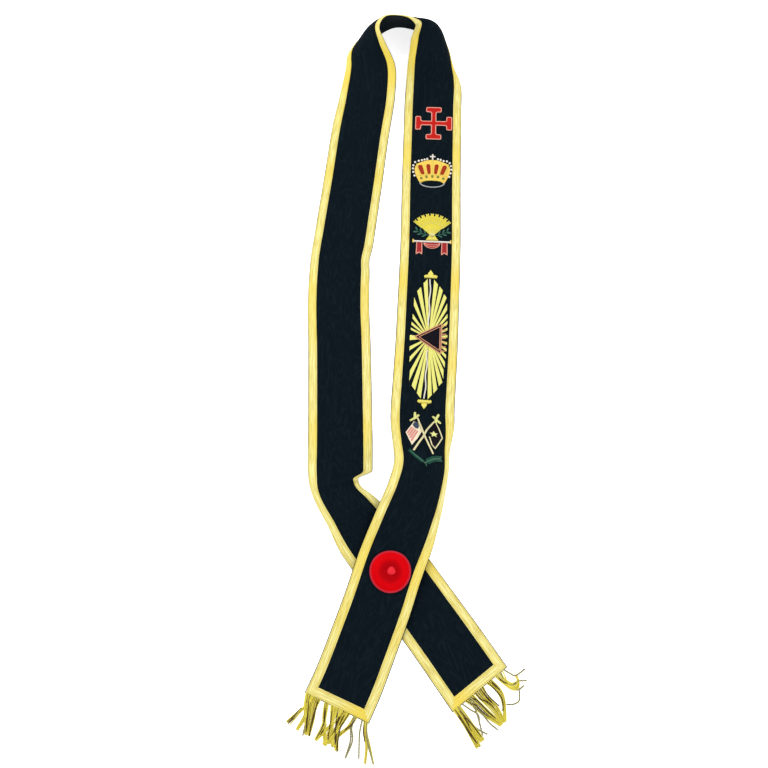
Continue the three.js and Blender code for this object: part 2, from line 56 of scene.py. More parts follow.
# Points nearer to each other than WELD millimetres are one; it is more than the rounding of a place at the
# ribbon's length. A point nearer to a cut than CUT lies on it, and nothing is divided by less than TINY.
WELD = 1e-3
CUT = 1e-5
TINY = 1e-6
UP = np.array([0.0, 0.0, 1.0])
LACE_WIDTH = 12.0

Array = np.ndarray
Point = tuple[float, float]
Span = tuple[float, float]
Point3 = tuple[float, float, float]
Colour = tuple[float, float, float]
Laying = Callable[[Array], Array]
Pieces = list[bpy.types.Object]


# Choices

class Side(Enum):
    """The two long edges of the ribbon; the inner one faces the loop's hollow."""

    INNER = 1
    OUTER = -1


class End(Enum):
    """The two short ends of the ribbon."""

    FRONT = "front"
    BACK = "back"


class Tone(Enum):
    """How a thread of the fringe looks."""

    BRIGHT = "bright"
    # Dark threads that paint the shade between the bright strands
    DARK = "dark"
    DULL = "dull"


# Lines and outlines

def run_along(points: Array) -> Array:
    """Distance of each point of a line from its start."""
    return np.concatenate([[0], np.cumsum(np.linalg.norm(np.diff(points, axis=0), axis=1))])


def crossways(path: Array) -> tuple[Array, Array, Array]:
    """Finds the directions at each point of a path.

    Args:
        path: its points.

    Returns:
        Unit vectors along the path, level across it, and square to both.
    """
    way = np.gradient(path, axis=0)
    way /= np.linalg.norm(way, axis=1)[:, None]
    side = np.cross(way, UP)
    side /= np.maximum(np.linalg.norm(side, axis=1), TINY)[:, None]
    return way, side, np.cross(side, way)


def smooth_line(spots: Array, spacing: float, trial: int = 16) -> Array:
    """Draws a smooth curve through a few places.

    Args:
        spots: the places that it passes.
        spacing: distance between the points of the curve.
        trial: points for each place that the curve is first drawn with.

    Returns:
        Points of the curve, evenly spaced.
    """
    held = np.vstack([2 * spots[0] - spots[1], spots, 2 * spots[-1] - spots[-2]])
    t = np.linspace(0, len(spots) - 1, trial * len(spots))
    i = np.minimum(t.astype(int), len(spots) - 2)
    s = (t - i)[:, None]
    a, b, c, d = (held[i + k] for k in range(4))
    curve = b + s * (c - a) / 2 + s**2 * (a - 2.5 * b + 2 * c - d / 2) + s**3 * (3 * b - a - 3 * c + d) / 2
    run = run_along(curve)
    even = np.linspace(0, run[-1], int(run[-1] / spacing) + 1)
    return np.column_stack([np.interp(even, run, axis) for axis in curve.T])


def stepped_path(corners: Sequence[Point], step: float) -> list[Point]:
    """Puts extra points on the straight stretches of a path.

    Args:
        corners: the path's corners.
        step: longest stretch between points.

    Returns:
        The path with points no further apart than the step.
    """
    path = [corners[0]]
    for a, b in zip(corners, corners[1:]):
        count = max(1, math.ceil(math.dist(a, b) / step))
        path += [(a[0] + (b[0] - a[0]) * k / count, a[1] + (b[1] - a[1]) * k / count)
                 for k in range(1, count + 1)]
    return path


def mirrored(half: Sequence[Point]) -> list[Point]:
    """The whole of an outline from its right half, listed from the top down."""
    return [*half, *[(-x, y) for x, y in reversed(half) if abs(x) > TINY]]


def arc(x: float, y: float, rx: float, ry: float, start: float, end: float, count: int) -> list[Point]:
    """Points on an arc of an ellipse about x, y, from one angle in degrees to another."""
    angles = np.radians(np.linspace(start, end, count))
    return [(x + rx * math.cos(a), y + ry * math.sin(a)) for a in angles]


def capsule(a: Point, b: Point, wide_a: float, wide_b: float, count: int = 6) -> list[Point]:
    """Draws a long rounded figure.

    Args:
        a: middle of one rounded end.
        b: middle of the other.
        wide_a: half its width at the one.
        wide_b: half its width at the other.
        count: points on each rounded end.

    Returns:
        Its outline.
    """
    way = math.degrees(math.atan2(b[1] - a[1], b[0] - a[0]))
    return [*arc(*a, wide_a, wide_a, way + 90, way + 270, count),
            *arc(*b, wide_b, wide_b, way - 90, way + 90, count)]


def star(x: float, y: float, radius: float, waist: float, points: int = 5) -> list[Point]:
    """Draws a star with one point up.

    Args:
        x: its middle, towards the outer edge.
        y: its middle, up the strand.
        radius: reach of its points.
        waist: reach of the notches, as a share of that.
        points: how many points it has.

    Returns:
        Its outline.
    """
    outline = []
    for k in range(2 * points):
        reach, angle = radius * (waist if k % 2 else 1), math.pi * k / points
        outline.append((x + reach * math.sin(angle), y + reach * math.cos(angle)))
    return outline


# Route of the ribbon

@dataclass(frozen=True)
class Row:
    """One place of the route: middle of the ribbon in plan, and how its cross-section lies there.

    faces is the bearing of the inner edge, tip how far that edge is tipped up, curl the bow from the middle
    to an edge, all in degrees, and lift the height of the lowest edge.
    """

    x: float
    y: float
    faces: float
    tip: float = 0
    curl: float = 0
    lift: float = 0


# Columns of a table of rows
PLAN, RISING = slice(0, 2), slice(3, 6)
FACES, TIP, CURL, LIFT = 2, 3, 4, 5

ROUTE = (
    Row(-60, -132, 156), Row(-46.5, -103, 157), Row(-27, -54, 158.5, 0, 0, 3), Row(-9.5, -8, 160, 0, 2, 8),
    Row(10.5, 50, 161, 0, 3, 11), Row(32, 100, 162, 11, 29, 9), Row(49.5, 142, 166, 22, 43, 4),
    Row(57, 172, 171, 24, 46, 1), Row(55.5, 205, 176, 16, 42), Row(54, 229, 177, 4, 24), Row(54, 249, 176.5),
    Row(57, 295, 176), Row(61, 350, 176.5), Row(65, 422, 177), Row(69, 500, 177.5), Row(72.5, 620, 178),
    Row(76, 715, 178), Row(77.5, 756, 178.5), Row(79, 780, 180, 3, 18), Row(80.5, 812, 182, 16, 52),
    Row(84, 845, 189, 34, 66), Row(80.5, 869, 214, 50, 58), Row(49, 879, 257, 58, 28),
    Row(18, 879.5, 272, 60, 12), Row(-7, 874, 285, 65, 27), Row(-26.5, 859, 308, 57, 33),
    Row(-30.5, 839.5, 330, 42, 24), Row(-24.5, 808, 346, 24, 20), Row(-27, 765, 352, 10, 14),
    Row(-36.5, 705, 352, 0, 6), Row(-47, 620, 352, 0, 4), Row(-58, 535, 352.5, 0, 10),
    Row(-65, 475, 355, 0, 14), Row(-66.5, 422, 359, 0, 12),
    Row(-64, 350, 361, 0, 6), Row(-62, 270, 361, 0, 4), Row(-60.5, 200, 362, 0, 8), Row(-60, 170, 363, 0, 18),
    Row(-57, 145, 375, 7, 36), Row(-42, 119, 391, 11, 30), Row(-20, 83.5, 394, 3, 12), Row(12, 42, 395, 0, 8),
    Row(46, -4, 395.5, 0, 4), Row(82, -53, 396, 0, 2), Row(122.5, -110, 397),
)


@dataclass(frozen=True)
class Fold:
    """A fold across the ribbon: its place in plan, its height and pull, and their reach each way."""

    x: float
    y: float
    rise: float
    inner_rise: float
    before: float
    after: float
    pull: float
    pull_before: float
    pull_after: float


FOLDS = (
    Fold(-59.5, 152, rise=3.5, inner_rise=7, before=14, after=5, pull=20, pull_before=9, pull_after=60),
    Fold(-63.5, 487, rise=1.5, inner_rise=3, before=30, after=10, pull=2, pull_before=14, pull_after=14),
)


class RibbonRoute:
    """The way the ribbon lies, as a mapping from ribbon coordinates to the object's frame.

    Ribbon coordinates are millimetres along it (u), across it with plus towards the inner edge (v), and
    above its underside (h).
    """

    width = 90.0
    thick = 1.6
    middle = (29.75, 352.35)
    step = 1.0
    least_bow = 1e-5

    def __init__(self, rows: Sequence[Row], folds: Sequence[Fold]) -> None:
        """Samples the route at even steps and finds the folds on it.

        Args:
            rows: the places that the route runs through.
            folds: the folds across it.
        """
        self.half = self.width / 2
        table = np.array([[r.x, r.y, r.faces, r.tip, r.curl, r.lift] for r in rows])
        chord = run_along(table[:, PLAN])
        ticks = np.append(np.arange(0, chord[-1], self.step), chord[-1])
        self.rows = self._smooth(table, chord, ticks)
        self.rows[:, RISING] = np.maximum(self.rows[:, RISING], 0)
        self.heights = self._heights(self.rows)
        flat = np.zeros(len(ticks))
        spots = self._lay(self.rows, self.heights, flat, flat)
        self.u = run_along(spots)
        self.length = float(self.u[-1])
        self._plan = spots[:, PLAN]
        self.folds = [(self.length_at(fold.x, fold.y), fold) for fold in folds]

    @staticmethod
    def _smooth(table: Array, chord: Array, ticks: Array) -> Array:
        """Runs a smooth curve through the rows.

        Args:
            table: the rows, one per line.
            chord: the rows' places along the route.
            ticks: the places asked for.

        Returns:
            One smooth row for each tick.
        """
        span = np.diff(chord)[:, None]
        rate = np.diff(table, axis=0) / span
        inside = (rate[:-1] * span[1:] + rate[1:] * span[:-1]) / (span[:-1] + span[1:])
        slope = np.vstack([rate[:1], inside, rate[-1:]])
        i = np.clip(np.searchsorted(chord, ticks, side="right") - 1, 0, len(chord) - 2)
        s = ((ticks - chord[i]) / np.diff(chord)[i])[:, None]
        return ((2 * s**3 - 3 * s**2 + 1) * table[i] + (s**3 - 2 * s**2 + s) * span[i] * slope[i]
                + (3 * s**2 - 2 * s**3) * table[i + 1] + (s**3 - s**2) * span[i] * slope[i + 1])

    def _arc(self, rows: Array, v: Array, h: Array) -> Array:
        """Works out offsets from the middle line on the arc that the cross-section makes.

        Args:
            rows: one smooth row per point.
            v: places across.
            h: heights above the underside.

        Returns:
            One offset per point.
        """
        bend = np.maximum(np.radians(rows[:, CURL]), self.least_bow) / self.half
        facing, tip = np.radians(rows[:, FACES]), np.radians(rows[:, TIP])
        inward = np.stack([np.cos(facing), np.sin(facing)], 1)
        across = np.column_stack([inward * np.cos(tip)[:, None], np.sin(tip)])
        face = np.column_stack([-inward * np.sin(tip)[:, None], np.cos(tip)])
        along_arc = np.sin(bend * v) * (1 / bend + h)
        off_arc = (np.cos(bend * v) - 1) / bend + h * np.cos(bend * v)
        return across * along_arc[:, None] + face * off_arc[:, None]

    def _heights(self, rows: Array) -> Array:
        """Finds the heights of the middle line that put the lowest edge at each row's lift.

        Args:
            rows: smooth rows.

        Returns:
            One height per row.
        """
        count = len(rows)
        corners = [self._arc(rows, np.full(count, edge), np.full(count, up))[:, 2]
                   for edge in (-self.half, self.half) for up in (0.0, self.thick)]
        return rows[:, LIFT] - np.min(corners, axis=0)

    def _lay(self, rows: Array, heights: Array, v: Array, h: Array) -> Array:
        """Points of the object's frame for smooth rows, middle heights, places across and heights."""
        base = np.column_stack([rows[:, 0] - self.middle[0], rows[:, 1] - self.middle[1], heights])
        return base + self._arc(rows, v, h)

    def length_at(self, x: float, y: float) -> float:
        """The length along the ribbon whose middle is nearest a plan point of the route's rows."""
        away = np.hypot(self._plan[:, 0] + self.middle[0] - x, self._plan[:, 1] + self.middle[1] - y)
        return float(self.u[np.argmin(away)])

    def points(self, uvh: Array) -> Array:
        """Lays points on the ribbon.

        Args:
            uvh: ribbon coordinates, one point per line.

        Returns:
            The points in millimetres of the object's frame.
        """
        u, v, h = uvh.T
        rows = np.column_stack([np.interp(u, self.u, column) for column in self.rows.T])
        spots = self._lay(rows, np.interp(u, self.u, self.heights), v, h)
        inner = (v + self.half) / self.width
        facing = np.radians(rows[:, FACES])
        for at, fold in self.folds:
            away = u - at
            drawn = fold.pull * inner**2 * self._hump(away, fold.pull_before, fold.pull_after)
            spots[:, 0] -= np.cos(facing) * drawn
            spots[:, 1] -= np.sin(facing) * drawn
            spots[:, 2] += (fold.rise + fold.inner_rise * inner) * self._hump(away, fold.before, fold.after)
        return spots

    @staticmethod
    def _hump(away: Array, before: float, after: float) -> Array:
        """A smooth hump of height one that reaches before and after its middle."""
        return np.exp(-((away / np.where(away < 0, before, after)) ** 2))


LAY = RibbonRoute(ROUTE, FOLDS)


# Mesh drafts

class Draft:
    """A mesh in the making, in millimetres of its own drawing."""

    # How a padded figure rises, as shares of its rise: first an upright wall, then two steps of its shoulder,
    # each with the share of the shoulder's width that it takes
    wall = 0.45
    shoulder = ((0.4, 0.4), (0.6, 0.15))
    sunk = -0.05

    def __init__(self) -> None:
        """Starts an empty mesh with one UV map that holds drawing metres."""
        self.mesh = bmesh.new()
        self.uv = self.mesh.loops.layers.uv.new("surface")

    def _grid(self, rows: int, columns: int) -> list[bmesh.types.BMVert]:
        """Makes a flat grid and gives its vertices row by row."""
        made = bmesh.ops.create_grid(self.mesh, x_segments=columns, y_segments=rows, size=1)["verts"]
        return sorted(made, key=lambda v: (round((v.co.y + 1) / 2 * rows), v.co.x))

    def _mark(self, faces: Sequence[bmesh.types.BMFace]) -> None:
        """Gives faces the UV coordinates of their place in the drawing."""
        for loop in (loop for face in faces for loop in face.loops):
            loop[self.uv].uv = (loop.vert.co.x * MM, loop.vert.co.y * MM)

    def shell(self, points: Array, surface: Array, turned: bool = False) -> None:
        """Adds a grid of points, joined where its edges meet.

        Args:
            points: places, shaped rows by columns by three.
            surface: UV coordinates of each, shaped rows by columns by two.
            turned: whether its faces look the other way.
        """
        order = self._grid(points.shape[0] - 1, points.shape[1] - 1)
        if turned:
            bmesh.ops.reverse_faces(self.mesh, faces=list({f for v in order for f in v.link_faces}))
        for vert, place, mark in zip(order, points.reshape(-1, 3).tolist(), surface.reshape(-1, 2).tolist()):
            vert.co = place
            for loop in vert.link_loops:
                loop[self.uv].uv = mark
        bmesh.ops.remove_doubles(self.mesh, verts=order, dist=WELD)

    def close(self) -> None:
        """Fills the open rims of the mesh and turns its faces one way."""
        bmesh.ops.holes_fill(self.mesh, edges=[e for e in self.mesh.edges if e.is_boundary], sides=0)
        bmesh.ops.recalc_face_normals(self.mesh, faces=self.mesh.faces)

    def tube(self, path: Array, radius: float | Array, sides: int = 6) -> None:
        """Adds a round cord along a path, closed at both ends.

        Args:
            path: points of its middle line.
            radius: its radius, the same all along or one per point.
            sides: faces round it.
        """
        size = np.concatenate([[0], np.broadcast_to(np.asarray(radius, float), (len(path),)), [0]])
        _, side, over = crossways(path)
        path, side, over = (np.vstack([line[:1], line, line[-1:]]) for line in (path, side, over))
        turn = np.linspace(0, 2 * math.pi, sides + 1)
        ring = np.cos(turn)[None, :, None] * side[:, None] + np.sin(turn)[None, :, None] * over[:, None]
        points = path[:, None] + ring * size[:, None, None]
        run = run_along(path)
        surface = np.stack(np.broadcast_arrays(turn[None, :] * np.mean(size) * MM, run[:, None] * MM), -1)
        self.shell(points, surface, turned=True)

    def patch(self, outline: Sequence[Point], rise: float, edge: float, base: float = sunk,
              grain: float = 0) -> None:
        """Adds a padded figure: a flat outline raised with a rounded shoulder.

        Args:
            outline: its corners in order.
            rise: its full height.
            edge: width of the shoulder.
            base: height of its underside.
            grain: longest stretch left between cuts, or 0 for none.
        """
        before = set(self.mesh.faces)
        floor = self.mesh.faces.new([self.mesh.verts.new((x, y, base)) for x, y in outline])
        floor.normal_update()
        if floor.normal.z < 0:
            floor.normal_flip()
        top = bmesh.ops.extrude_face_region(self.mesh, geom=[floor], use_keep_orig=True)["geom"]
        bmesh.ops.translate(self.mesh, vec=(0, 0, rise * self.wall),
                            verts=[g for g in top if isinstance(g, bmesh.types.BMVert)])
        faces = [g for g in top if isinstance(g, bmesh.types.BMFace)]
        for share, lifted in self.shoulder:
            bmesh.ops.inset_region(self.mesh, faces=faces, thickness=edge * share, depth=0,
                                   use_even_offset=False, use_boundary=True)
            inner = {v for f in faces for v in f.verts}
            bmesh.ops.translate(self.mesh, vec=(0, 0, rise * lifted), verts=list(inner))
        mine = [f for f in self.mesh.faces if f not in before]
        if grain:
            mine = self._cut(mine, grain)
        bmesh.ops.recalc_face_normals(self.mesh, faces=mine)
        self._mark(mine)

    def _cut(self, faces: list[bmesh.types.BMFace], grain: float) -> list[bmesh.types.BMFace]:
        """Cuts faces by upright planes so that they can follow a bow.

        Args:
            faces: the faces to cut.
            grain: distance between the planes.

        Returns:
            The faces that they become.
        """
        verts = {v for f in faces for v in f.verts}
        for axis, normal in enumerate((Vector((1, 0, 0)), Vector((0, 1, 0)))):
            low, high = min(v.co[axis] for v in verts), max(v.co[axis] for v in verts)
            for k in range(1, int((high - low) / grain) + 1):
                geom = list({g for f in faces for g in (f, *f.edges, *f.verts)})
                cut = bmesh.ops.bisect_plane(self.mesh, geom=geom, dist=CUT, plane_no=normal,
                                             plane_co=normal * (low + k * grain))["geom"]
                faces = [g for g in cut if isinstance(g, bmesh.types.BMFace)]
        return faces

    def bead(self, x: float, y: float, radius: float, base: float, flat: float) -> None:
        """Adds a round bead that rests at a height.

        Args:
            x: its place towards the outer edge.
            y: its place up the strand.
            radius: its radius.
            base: height that it rests at.
            flat: its height as a share of its width.
        """
        place = Matrix.Translation((x, y, base + radius * flat)) @ Matrix.Diagonal((1, 1, flat, 1))
        made = bmesh.ops.create_icosphere(self.mesh, subdivisions=2, radius=radius, matrix=place)["verts"]
        self._mark([face for vert in made for face in vert.link_faces])

    def finish(self, name: str, place: Laying, finish: bpy.types.Material, slot: str,
               crease: float = 60) -> bpy.types.Object:
        """Puts the draft in its place, faces outwards, and makes it an object that rides on the sash.

        Args:
            name: name of the piece.
            place: turns drawing points into millimetres of the object's frame.
            finish: its material.
            slot: the record's material slot that goes with its finish; not used.
            crease: edges sharper than this many degrees stay sharp.

        Returns:
            The object.
        """
        drawn = np.array([v.co for v in self.mesh.verts])
        for vert, spot in zip(self.mesh.verts, (place(drawn) * MM).tolist()):
            vert.co = spot
        if self.mesh.calc_volume(signed=True) < 0:
            bmesh.ops.reverse_faces(self.mesh, faces=self.mesh.faces)
        self.mesh.normal_update()
        for face in self.mesh.faces:
            face.smooth = True
        for edge in self.mesh.edges:
            edge.smooth = len(edge.link_faces) != 2 or edge.calc_face_angle(0) < math.radians(crease)
        data = bpy.data.meshes.new(name)
        self.mesh.to_mesh(data)
        self.mesh.free()
        data.materials.append(finish)
        piece = bpy.data.objects.new(name, data)
        bpy.context.scene.collection.objects.link(piece)
        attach(piece, "root")
        LOG.info("piece %s: %d faces", name, len(data.polygons))
        return piece


# Finishes

class Shader:
    """A node material in the making."""

    # A stretch in millimetres so long that a pattern doesn't change along it
    endless = 1000

    def __init__(self, name: str) -> None:
        """Starts a material with a shader and its output."""
        self.material = bpy.data.materials.new(name)
        self.material.use_nodes = True
        self.tree = self.material.node_tree
        self.tree.nodes.clear()
        self.surface = self.tree.nodes.new("ShaderNodeBsdfPrincipled")
        output = self.tree.nodes.new("ShaderNodeOutputMaterial")
        self.tree.links.new(self.surface.outputs[0], output.inputs[0])

    def put(self, node: bpy.types.Node, key: str | int, value: object) -> None:
        """Sets an input of a node.

        Args:
            node: the node.
            key: name or number of the input.
            value: its value, or another node's output to link it to.
        """
        if isinstance(value, bpy.types.NodeSocket):
            self.tree.links.new(value, node.inputs[key])
        else:
            node.inputs[key].default_value = value

    def node(self, kind: str, inputs: dict[str | int, object], output: str | int = 0,
             **settings: object) -> bpy.types.NodeSocket:
        """Adds a node.

        Args:
            kind: its type, without the usual prefix.
            inputs: values or outputs for its inputs.
            output: the output to give back.
            settings: its own settings.

        Returns:
            One of its outputs.
        """
        made = self.tree.nodes.new("ShaderNode" + kind)
        for key, value in settings.items():
            setattr(made, key, value)
        for key, value in inputs.items():
            self.put(made, key, value)
        return made.outputs[output]

    def base(self, **values: object) -> None:
        """Sets inputs of the shader, with spaces in their names written as underscores."""
        for key, value in values.items():
            self.put(self.surface, key.replace("_", " "), value)

    def on_cloth(self, stretch: Span, turn: float = 0) -> bpy.types.NodeSocket:
        """Makes coordinates that follow the cloth.

        Args:
            stretch: millimetres of one repeat, across and along.
            turn: degrees that the pattern is turned by.

        Returns:
            The coordinates, in repeats.
        """
        marks = self.node("UVMap", {}, uv_map="surface")
        scale = (1 / (stretch[0] * MM), 1 / (stretch[1] * MM), 1)
        turned = self.node("Mapping", {"Vector": marks, "Rotation": (0, 0, math.radians(turn))})
        return self.node("Mapping", {"Vector": turned, "Scale": scale})

    def math(self, operation: str, *values: object) -> bpy.types.NodeSocket:
        """One step of arithmetic."""
        return self.node("Math", dict(enumerate(values)), operation=operation)

    def noise(self, stretch: Span, detail: float = 2, distortion: float = 0,
              turn: float = 0) -> bpy.types.NodeSocket:
        """A noise from 0 to 1 whose patches have a size in millimetres, across and along."""
        return self.node("TexNoise", {"Vector": self.on_cloth(stretch, turn), "Scale": 1.0, "Detail": detail,
                                      "Distortion": distortion})

    def ridges(self, stretch: Span, wobble: float, axis: str = "X", turn: float = 0) -> bpy.types.NodeSocket:
        """Even ridges, one for each stretch in millimetres along an axis of the cloth."""
        return self.node("TexWave", {"Vector": self.on_cloth(stretch, turn), "Scale": math.pi / 10,
                                     "Distortion": wobble, "Detail": 1.0}, output="Fac", bands_direction=axis)

    def ramp(self, value: bpy.types.NodeSocket, *stops: tuple[float, Colour]) -> bpy.types.NodeSocket:
        """Turns a value to a colour.

        Args:
            value: the value, from 0 to 1.
            stops: values in order, each with its colour.

        Returns:
            The colour, even between stops.
        """
        made = self.tree.nodes.new("ShaderNodeValToRGB")
        elements = made.color_ramp.elements
        for at, _ in stops[1:-1]:
            elements.new(at)
        for element, (at, colour) in zip(elements, stops):
            element.position = at
            element.color = (*colour, 1)
        self.put(made, 0, value)
        return made.outputs[0]

    def span(self, value: bpy.types.NodeSocket, low: float, high: float, start: float = 0.0,
             end: float = 1.0) -> bpy.types.NodeSocket:
        """Stretches a value from between start and end to between low and high."""
        return self.node("MapRange", {"Value": value, "From Min": start, "From Max": end, "To Min": low,
                                      "To Max": high})

    def mix(self, share: bpy.types.NodeSocket, under: bpy.types.NodeSocket | Colour,
            over: Colour) -> bpy.types.NodeSocket:
        """Mixes two colours.

        Args:
            share: how much of the second shows, from 0 to 1.
            under: the first colour.
            over: the second.

        Returns:
            The mixed colour.
        """
        if not isinstance(under, bpy.types.NodeSocket):
            under = (*under, 1)
        return self.node("MixRGB", {"Fac": share, 1: under, 2: (*over, 1)})

    def bump(self, height: bpy.types.NodeSocket, depth: float, strength: float,
             under: bpy.types.NodeSocket | None = None) -> bpy.types.NodeSocket:
        """Turns a height to a bump.

        Args:
            height: the height, from 0 to 1.
            depth: millimetres that it stands for.
            strength: share of the bump that shows.
            under: a bump that it lies on, if any.

        Returns:
            The bumped normal.
        """
        inputs = {"Height": height, "Distance": depth * MM, "Strength": strength}
        if under is not None:
            inputs["Normal"] = under
        return self.node("Bump", inputs)


@dataclass(frozen=True)
class WateredSilk:
    """Black ribbed silk whose crushed ribs show as long watered marks."""

    name: str = "watered_silk"
    dark: Colour = (0.0034, 0.0070, 0.0100)
    light: Colour = (0.0058, 0.0114, 0.0159)
    mark: Span = (20, 85)
    rings: float = 38
    contrast: float = 2.2
    rib: float = 0.7
    swell: Span = (60, 160)
    rough: Span = (0.65, 0.5)
    gloss: float = 0.006

    def material(self) -> bpy.types.Material:
        """Builds the material.

        Returns:
            The material.
        """
        s = Shader(self.name)
        drift = s.noise(self.mark, 3, 0.5)
        wave = s.math("ABSOLUTE", s.math("SINE", s.math("MULTIPLY", drift, self.rings)))
        marks = s.math("POWER", s.span(wave, 1, 0), self.contrast)
        ribs = s.bump(s.ridges((1, self.rib), 0.4, "Y"), 0.05, 0.45)
        swell = s.bump(s.noise(self.swell), 0.9, 0.3, ribs)
        s.base(Base_Color=s.ramp(marks, (0.0, self.dark), (1.0, self.light)), Normal=swell,
               Roughness=s.span(marks, *self.rough), Specular_IOR_Level=self.gloss)
        return s.material


@dataclass(frozen=True)
class GoldLace:
    """Woven gold lace: bands of bright thread between darker grooves, with a fine twill; the bright stripes
    are painted highlight and the groove stripes painted shade.
    """

    name: str = "gold_lace"
    # bright is a painted highlight; groove is painted shade in the grooves and also the darker tone of random
    # streaks and grain
    bright: Colour = (0.89, 0.86, 0.45)
    mid: Colour = (0.79, 0.70, 0.20)
    groove: Colour = (0.54, 0.42, 0.07)
    deep: Colour = (0.74, 0.57, 0.06)
    worn: Span = (5, 14)
    grain: Span = (0.5, 2.2)
    streak: Span = (1.6, 22)
    stretch: Span = (60, 130)
    twill: float = 0.9
    thread: float = 0.55
    rough: Span = (0.34, 0.5)
    metal: float = 0.05
    gloss: float = 0.25

    def material(self) -> bpy.types.Material:
        """Builds the material.

        Returns:
            The material.
        """
        s = Shader(self.name)
        across = s.node("SeparateXYZ", {0: s.on_cloth((LACE_WIDTH, 1))})
        wear = s.noise(self.worn, 3, 0.3)
        # The ramp across paints highlight stripes and stripes of shade at the grooves
        gold = s.ramp(across, (0.0, self.mid), (0.06, self.bright), (0.12, self.groove), (0.18, self.mid),
                      (0.34, self.bright), (0.47, self.mid), (0.55, self.bright), (0.80, self.mid),
                      (0.87, self.groove), (0.94, self.bright), (1.0, self.mid))
        gold = s.mix(s.span(wear, 0.0, 0.3), gold, self.mid)
        gold = s.mix(s.span(s.noise(self.streak, 3, 0.2), 0.0, 0.75, 0.42, 0.66), gold, self.groove)
        gold = s.mix(s.span(s.noise(self.grain), 0.0, 0.25), gold, self.groove)
        gold = s.mix(s.span(s.noise(self.stretch, 1), 0.0, 0.85, 0.48, 0.66), gold, self.deep)
        threads = s.bump(s.ridges((self.thread, 1), 0.3), 0.08, 0.5)
        twill = s.bump(s.ridges((self.twill, self.twill), 0.6, turn=35), 0.09, 0.55, threads)
        s.base(Base_Color=gold, Roughness=s.span(wear, *self.rough), Normal=twill, Metallic=self.metal,
               Specular_IOR_Level=self.gloss)
        return s.material


@dataclass(frozen=True)
class GoldTwist:
    """Twisted thread, as in bullion, rope borders and purl."""

    name: str
    bright: Colour
    # shade is the darker tone of random patches and painted shade in the grooves of the lay
    shade: Colour
    metal: float = 0.15
    patch: Span = (3, 6)
    lay: float = 0.55
    rough: Span = (0.32, 0.48)
    gloss: float = 0.3

    def material(self) -> bpy.types.Material:
        """Builds the material.

        Returns:
            The material.
        """
        s = Shader(self.name)
        patches = s.noise(self.patch, 3)
        fine = s.ridges((self.lay, self.lay), 0.5, turn=40)
        # The patches vary the tone at random; the fine lines of the lay are darkened as painted shade between
        # plies
        tint = s.mix(s.span(patches, 0.1, 0.9), self.bright, self.shade)
        s.base(Base_Color=s.mix(s.span(fine, 0.0, 0.35), tint, self.shade), Normal=s.bump(fine, 0.07, 0.6),
               Roughness=s.span(patches, *self.rough), Metallic=self.metal, Specular_IOR_Level=self.gloss)
        return s.material


@dataclass(frozen=True)
class SatinStitch:
    """Embroidery thread laid side by side, with the stitches running one way."""

    name: str
    colour: Colour
    shade: Colour
    turn: float
    gloss: float = 0.15
    thread: float = 0.45
    row: Span = (0.9, 5)
    patch: Span = (7, 7)
    rough: Span = (0.42, 0.62)

    def material(self) -> bpy.types.Material:
        """Builds the material.

        Returns:
            The material.
        """
        s = Shader(self.name)
        stitch = s.ridges((self.thread, self.thread), 0.8, turn=self.turn)
        rows = s.noise(self.row, turn=self.turn)
        s.base(Base_Color=s.mix(s.span(rows, -0.1, 0.75), self.colour, self.shade),
               Roughness=s.span(s.noise(self.patch), *self.rough), Normal=s.bump(stitch, 0.1, 0.6),
               Specular_IOR_Level=self.gloss)
        return s.material


@dataclass(frozen=True)
class PleatedSilk:
    """Red ribbon in close radial pleats: fine lines out from the middle, painted shade towards the middle,
    and a paler painted highlight on the rolled rim.
    """

    name: str
    colour: Colour
    shade: Colour
    # shade is painted shade towards the middle and the darker tone of the random mottle; rim is a pinkish
    # painted highlight
    rim: Colour
    rim_highlight_from: float = 0.86
    rim_highlight_to: float = 0.93
    radius: float = 28.0
    pleat: float = 1.1
    patch: Span = (9, 9)
    rough: float = 0.55
    gloss: float = 0.02

    def material(self) -> bpy.types.Material:
        """Builds the material.

        Returns:
            The material.
        """
        s = Shader(self.name)
        lines = s.ridges((self.pleat, s.endless), 0.3)
        out = s.node("SeparateXYZ", {0: s.on_cloth((s.endless, self.radius))}, output="Y")
        # Painted shade towards the middle, the plain colour further out, and a painted highlight on the
        # rolled rim
        tint = s.ramp(out, (0.25, self.shade), (0.42, self.shade), (0.62, self.colour),
                      (self.rim_highlight_from, self.colour), (self.rim_highlight_to, self.rim), (1.0, self.rim))
        s.base(Base_Color=s.mix(s.span(s.noise(self.patch, 3), 0.0, 0.6), tint, self.shade),
               Roughness=self.rough, Normal=s.bump(lines, 0.12, 0.35), Specular_IOR_Level=self.gloss)
        return s.material


@dataclass(frozen=True)
class Glazed:
    """Small glass seed beads."""

    name: str
    colour: Colour
    haze: Colour = (0.35, 0.33, 0.3)
    patch: Span = (2, 2)
    rough: float = 0.25
    gloss: float = 0.6

    def material(self) -> bpy.types.Material:
        """Builds the material.

        Returns:
            The material.
        """
        s = Shader(self.name)
        s.base(Base_Color=s.mix(s.span(s.noise(self.patch, 1), 0.0, 0.3), self.colour, self.haze),
               Roughness=self.rough, Specular_IOR_Level=self.gloss)
        return s.material


SILK = WateredSilk().material()
LACE = GoldLace().material()
BULLION = GoldTwist("gold_bullion", (0.92, 0.88, 0.15), (0.58, 0.44, 0.02), metal=0.1).material()
